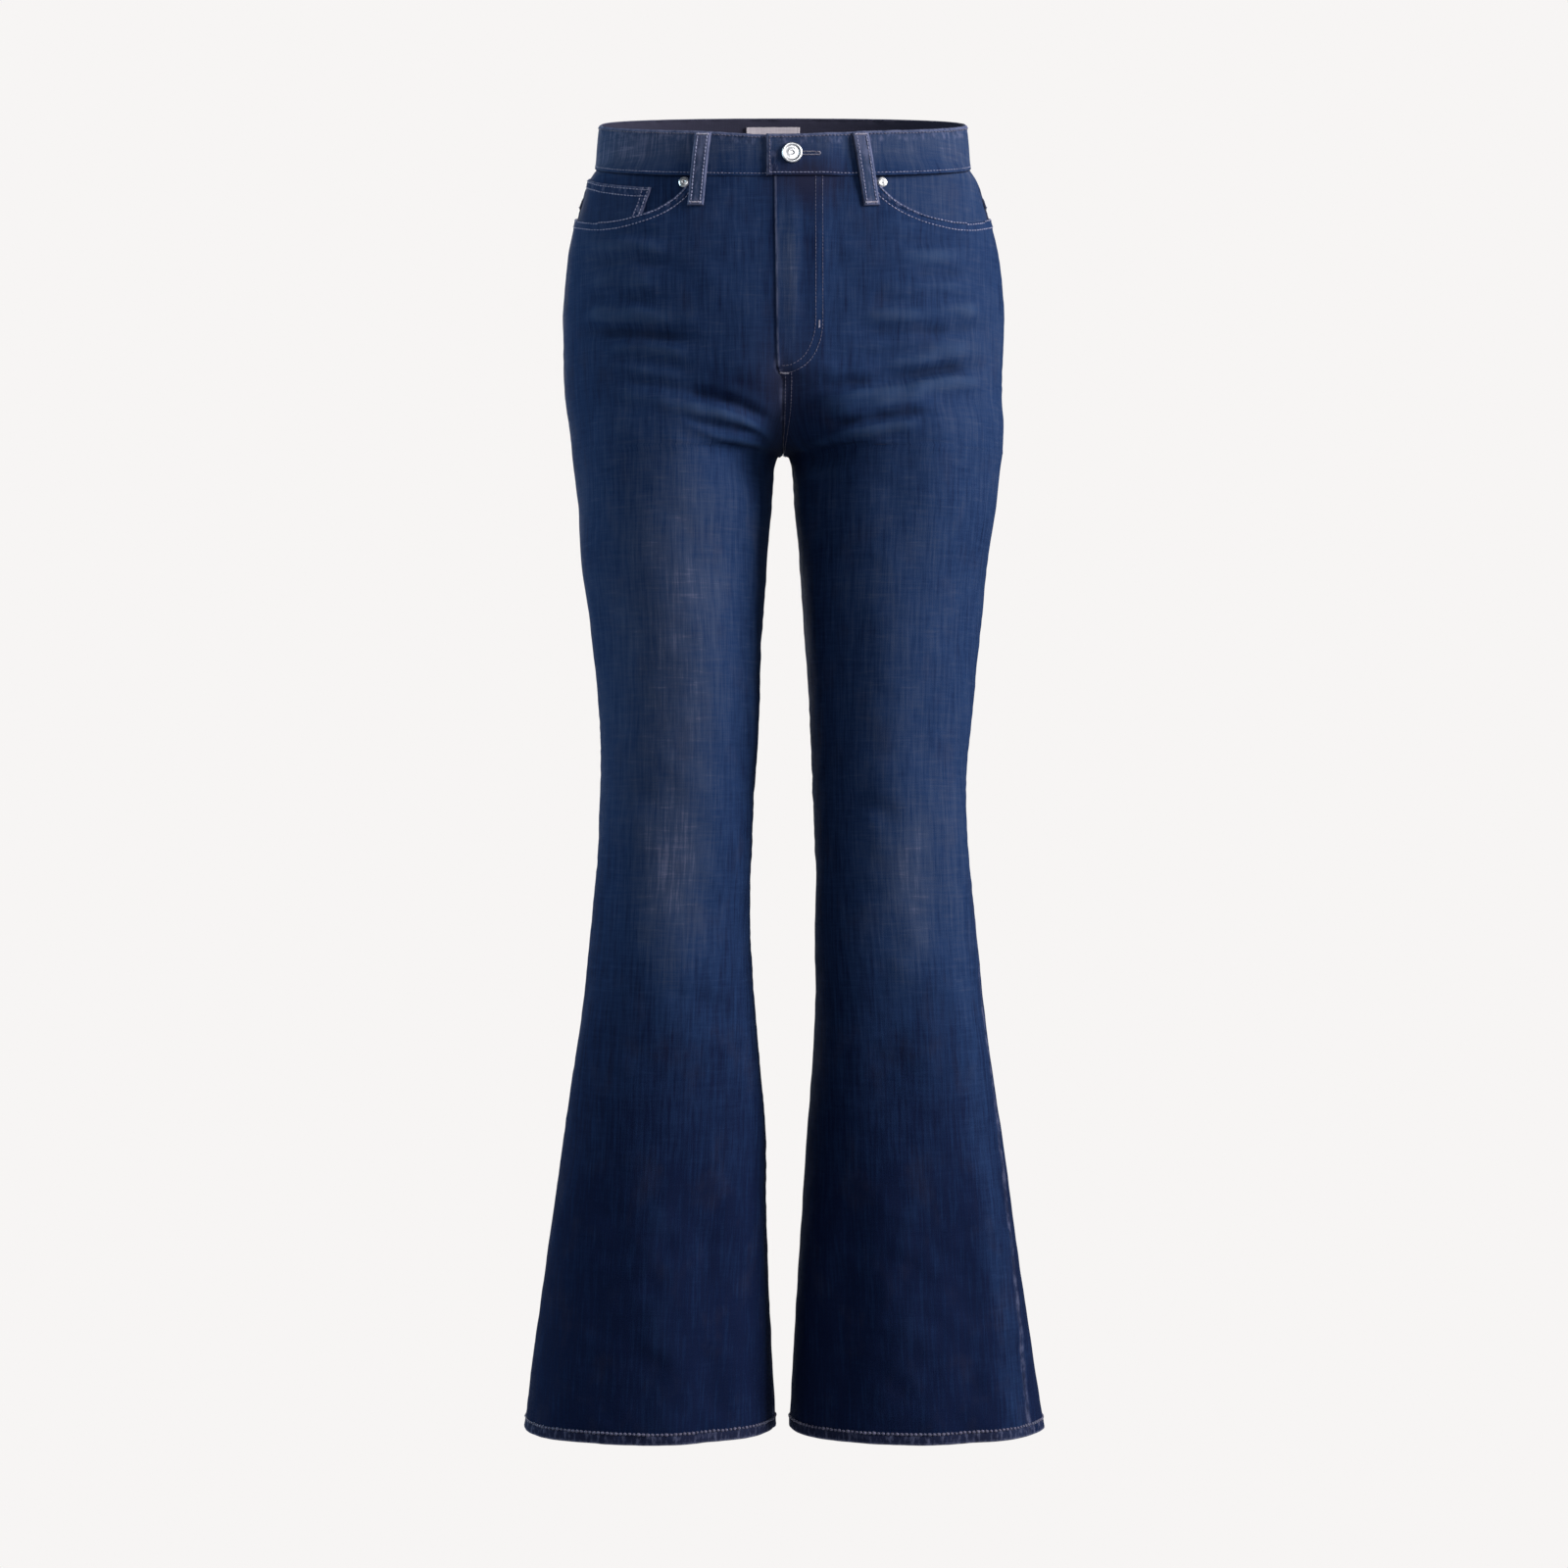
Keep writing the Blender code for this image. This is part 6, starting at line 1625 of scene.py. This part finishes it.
def loopOut(heights):
    return np.interp(heights, loopBends[:, 0], loopBends[:, 1]) + loopShape["cloth"]


def loopPaths(spec, piece):
    heights = np.linspace(loopBends[0, 0] + 0.001, loopBends[-1, 0] - 0.001, 50)
    return [laidOn(piece, spec[1], *loopPlace(spec, heights, across), loopOut(heights))
            for across in (-0.62, 0.62)]


hemThread = {"Pitch": 0.0038, "Stitch_Length": 0.0035, "Thread_Width": 0.0024}
sewing = {}
for key, paths, kind, changes in (
    ("front_left", frontStitchPaths(left), "thread", {}),
    ("front_right", frontStitchPaths(right), "thread", {}),
    ("back_left", backStitchPaths(left), "thread", {}),
    ("yoke_left", yokeStitchPaths(left), "thread", {}),
    ("yoke_right", yokeStitchPaths(right), "thread", {}),
    ("hem_left", hemStitchPaths(left), "dimThread", hemThread),
    ("hem_right", hemStitchPaths(right), "dimThread", hemThread),
    ("fly", flyStitchPaths(), "dimThread", {"Thread_Width": 0.00066}),
    ("waist_seam", bandStitchPaths(0.055), "thread", {"Thread_Width": 0.00066}),
    ("band_top", bandStitchPaths(0.939), "dimThread", {}),
    ("back_pocket_left", backPocketPaths(left), "thread", {}),
    ("back_pocket_right", backPocketPaths(right), "thread", {}),
    ("coin_pocket", coinPaths(), "thread", {}),
):
    sewing[key] = stitches(f"stitches_{key}", paths, kind, **changes)
loopSewing = [stitches(f"stitches_loop_{spec[0]}", loopPaths(spec, piece))
              for spec, piece in zip(loopList, loops)]
print("stitches sewn")


def tackPaths():
    # Bartacks on the fly's foot and curve, at the back pockets' corners and at the loops' ends
    tacks = {"front_left": [zigzag(fronts[left], left, 0.001, -0.2038, 0.0004, 0.008, 0.0016, 18, True),
                            zigzag(fronts[left], left, 0.0295, -0.164, 0.0012, 0.0062, 0.0014, 14)]}
    for side in (left, right):
        corners = [backPocketPlace(np.array([0.035]), np.array([across])) for across in (-0.95, 0.95)]
        tacks[f"back_pocket_{sideNames[side]}"] = [
            zigzag(backPockets[side], side, float(d[0]), float(z[0]), 0.003, 0.0075, 0.0018, 16)
            for d, z in corners]
    for spec, piece in zip(loopList, loops):
        paths = tacks[f"loop_{spec[0]}"] = []
        for height in (loopBends[0, 0] + 0.0016, loopBends[-1, 0] - 0.0014):
            heights = height + np.where(np.arange(26) % 2 == 0, -0.5, 0.5) * 0.0016
            d, z = loopPlace(spec, heights, np.linspace(-0.84, 0.84, 26))
            paths.append(laidOn(piece, spec[1], d, z, loopOut(heights), 0.0002, 0.0004))
    return tacks


tackPieces = {key: sewPaths(f"bartacks_{key}", paths, cordTree, "paleThread", Thread_Width=0.00045)
              for key, paths in tackPaths().items()}


# The slit runs away from the band's end. It is drawn by its stitching alone and isn't cut through the band.
keyhole = {"slitEnd": 0.0228, "halfSlit": 0.0012, "eye": 0.0034, "opening": math.radians(24)}


def buttonholePath():
    # Thread wound round the keyhole's edge
    place, out = buttonPlace()
    turn = Vector((0, -1, 0)).rotation_difference(out).to_matrix()
    end, half, opening = (keyhole[part] for part in ("slitEnd", "halfSlit", "opening"))
    eye = [(keyhole["eye"] * math.cos(a), keyhole["eye"] * math.sin(a))
           for a in np.linspace(opening, math.tau - opening, 30)]
    line = np.array([(end, half), *eye, (end, -half), (end + 0.0008, 0.0), (end, half)])
    run = runOf(np.linalg.norm(np.diff(line, axis=0), axis=1))
    even = np.linspace(0.0, run[-1], 170)
    x, y = (np.interp(even, run, line[:, k]) for k in (0, 1))
    tangent = np.stack([np.gradient(x), np.gradient(y)], 1)
    tangent /= np.linalg.norm(tangent, axis=1, keepdims=True)
    swing = np.where(np.arange(170) % 2 == 0, -0.0005, 0.0005)
    x, y = x - tangent[:, 1] * swing, y + tangent[:, 0] * swing
    path = []
    for px, py in zip(x, y):
        start = place + turn @ Vector((px, 0.0, py)) + out * 0.006
        found = surfaceOf(waistband).ray_cast(start, -out)[0]
        if found is None or (start - found).length > 0.005:
            found = start - out * 0.0024
        path.append(found + out * 0.00022)
    return path


buttonhole = sewPaths("buttonholeStitching", [buttonholePath()], cordTree, "paleThread", Thread_Width=0.0005)

# The zip's teeth, in a close double row down the tape
toothZ = np.linspace(float(fromFront(0.012)) - 0.004, -0.171, 60)
zipTeeth = stitches("zipTeeth", [laidOn(zipTape, left, np.full(60, 0.0115), toothZ, 0.0, 0.0001),
                                 laidOn(zipTape, left, np.full(60, 0.0133), toothZ - 0.0006, 0.0, 0.0001)],
                    kind="nickel", Pitch=0.0016, Stitch_Length=0.0011, Thread_Width=0.0013, Unevenness=0.02)
print("bartacks, buttonhole and zip made")


def turnedPiece(name, profile, place, axis, steps, kind="nickel"):
    mesh = bmesh.new()
    verts = [mesh.verts.new((r, 0.0, h)) for r, h in profile]
    edges = [mesh.edges.new(pair) for pair in zip(verts, verts[1:])]
    bmesh.ops.spin(mesh, geom=verts + edges, axis=(0, 0, 1), cent=(0, 0, 0), angle=math.tau, steps=steps,
                   use_merge=True)
    bmesh.ops.remove_doubles(mesh, verts=mesh.verts[:], dist=1e-6)
    bmesh.ops.recalc_face_normals(mesh, faces=mesh.faces[:])
    if mesh.calc_volume(signed=True) < 0:
        bmesh.ops.reverse_faces(mesh, faces=mesh.faces[:])
    matrix = Matrix.Translation(place) @ axis.to_track_quat("Z", "Y").to_matrix().to_4x4()
    bmesh.ops.transform(mesh, matrix=matrix, verts=mesh.verts[:])
    data = bpy.data.meshes.new(name)
    mesh.to_mesh(data)
    mesh.free()
    data.shade_smooth()
    data.set_sharp_from_angle(angle=math.radians(48))
    return addPiece(name, data, kind)


def roundedProfile(points, steps=5):
    return [tuple(p) for p in np.maximum(roundedLine(np.array(points), steps), (0.0, -1.0))]


def makeButton():
    place, out = buttonPlace()
    foot, head = 0.0011, band["proud"] + band["raise"] + 2 * form["seamGap"]
    rim = roundedProfile([(0.0077, 0.0), (0.0084, 0.0003), (0.0085, 0.001), (0.0083, 0.0019), (0.0077, 0.0024),
                          (0.0069, 0.0024), (0.0062, 0.002), (0.0056, 0.0016), (0.0046, 0.0016),
                          (0.003, 0.0018), (0.0021, 0.0018), (0.0016, 0.0015), (0.001, 0.0013),
                          (0.0, 0.0013)], 4)
    profile = [(0.0, foot), (0.0021, foot), (0.0021, head)] + [(r, head + h) for r, h in rim]
    return turnedPiece("shankButton", profile, place, out, 64)


def makeRivet(side):
    z = float(fromFront(0.082)) - 0.006
    place, out = Vector(onCloth(side, z, 0.082)), Vector(formNormal(side, z, 0.082))
    cap = roundedProfile([(0.0, 0.0), (0.0041, 0.0), (0.0043, 0.0003), (0.0041, 0.0008), (0.0034, 0.0013),
                          (0.0024, 0.0015), (0.0016, 0.0016), (0.0012, 0.0012), (0.0, 0.0012)], 4)
    return turnedPiece(f"pocketRivet_{sideNames[side]}", [(r, 0.0006 + h) for r, h in cap], place, out, 36)


shankButton = makeButton()
rivets = {side: makeRivet(side) for side in (left, right)}
print("metal made")


def finishPiece(piece, *nodes):
    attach(piece, "root")
    if nodes:
        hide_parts(*nodes)
    return piece


def finishSheet(piece, nodes, extras=()):
    finishPiece(piece, *nodes)
    for extra in extras:
        finishPiece(extra)


for side in (left, right):
    word = sideNames[side]
    extras = [sewing[f"front_{word}"], sewing[f"hem_{word}"], *strips[side]]
    finishSheet(fronts[side], [f"front_{word}"],
                extras + ([tackPieces["front_left"], sewing["fly"]] if side == left else []))
    finishSheet(backs[side], [f"back_{word}"],
                [sewing["back_left"], backRiseStrip] if side == left else [])
    finishSheet(yokes[side], [f"yoke_{word}"], [sewing[f"yoke_{word}"]])
    finishSheet(facings[side], [f"pocket_facing_{word}"])
    finishSheet(bags[side], [f"pocket_bag_{word}"])
    finishSheet(backPockets[side], [f"back_pocket_{word}"],
                [sewing[f"back_pocket_{word}"], tackPieces[f"back_pocket_{word}"]])
    finishPiece(rivets[side], f"rivet_{word}")
finishSheet(coinPocket, ["coin_pocket"], [sewing["coin_pocket"]])
finishSheet(flyShield, ["fly_shield"])
finishSheet(zipTape, ["zip"], [zipTeeth])
finishSheet(waistband, ["waistband"], [sewing["waist_seam"], sewing["band_top"], buttonhole])
for spec, piece, sewn in zip(loopList, loops, loopSewing):
    finishSheet(piece, [f"belt_loop_{spec[0]}"], [sewn, tackPieces[f"loop_{spec[0]}"]])
finishSheet(waistLabel, ["waist_label"])
finishPiece(shankButton, "button")
print("pieces declared")
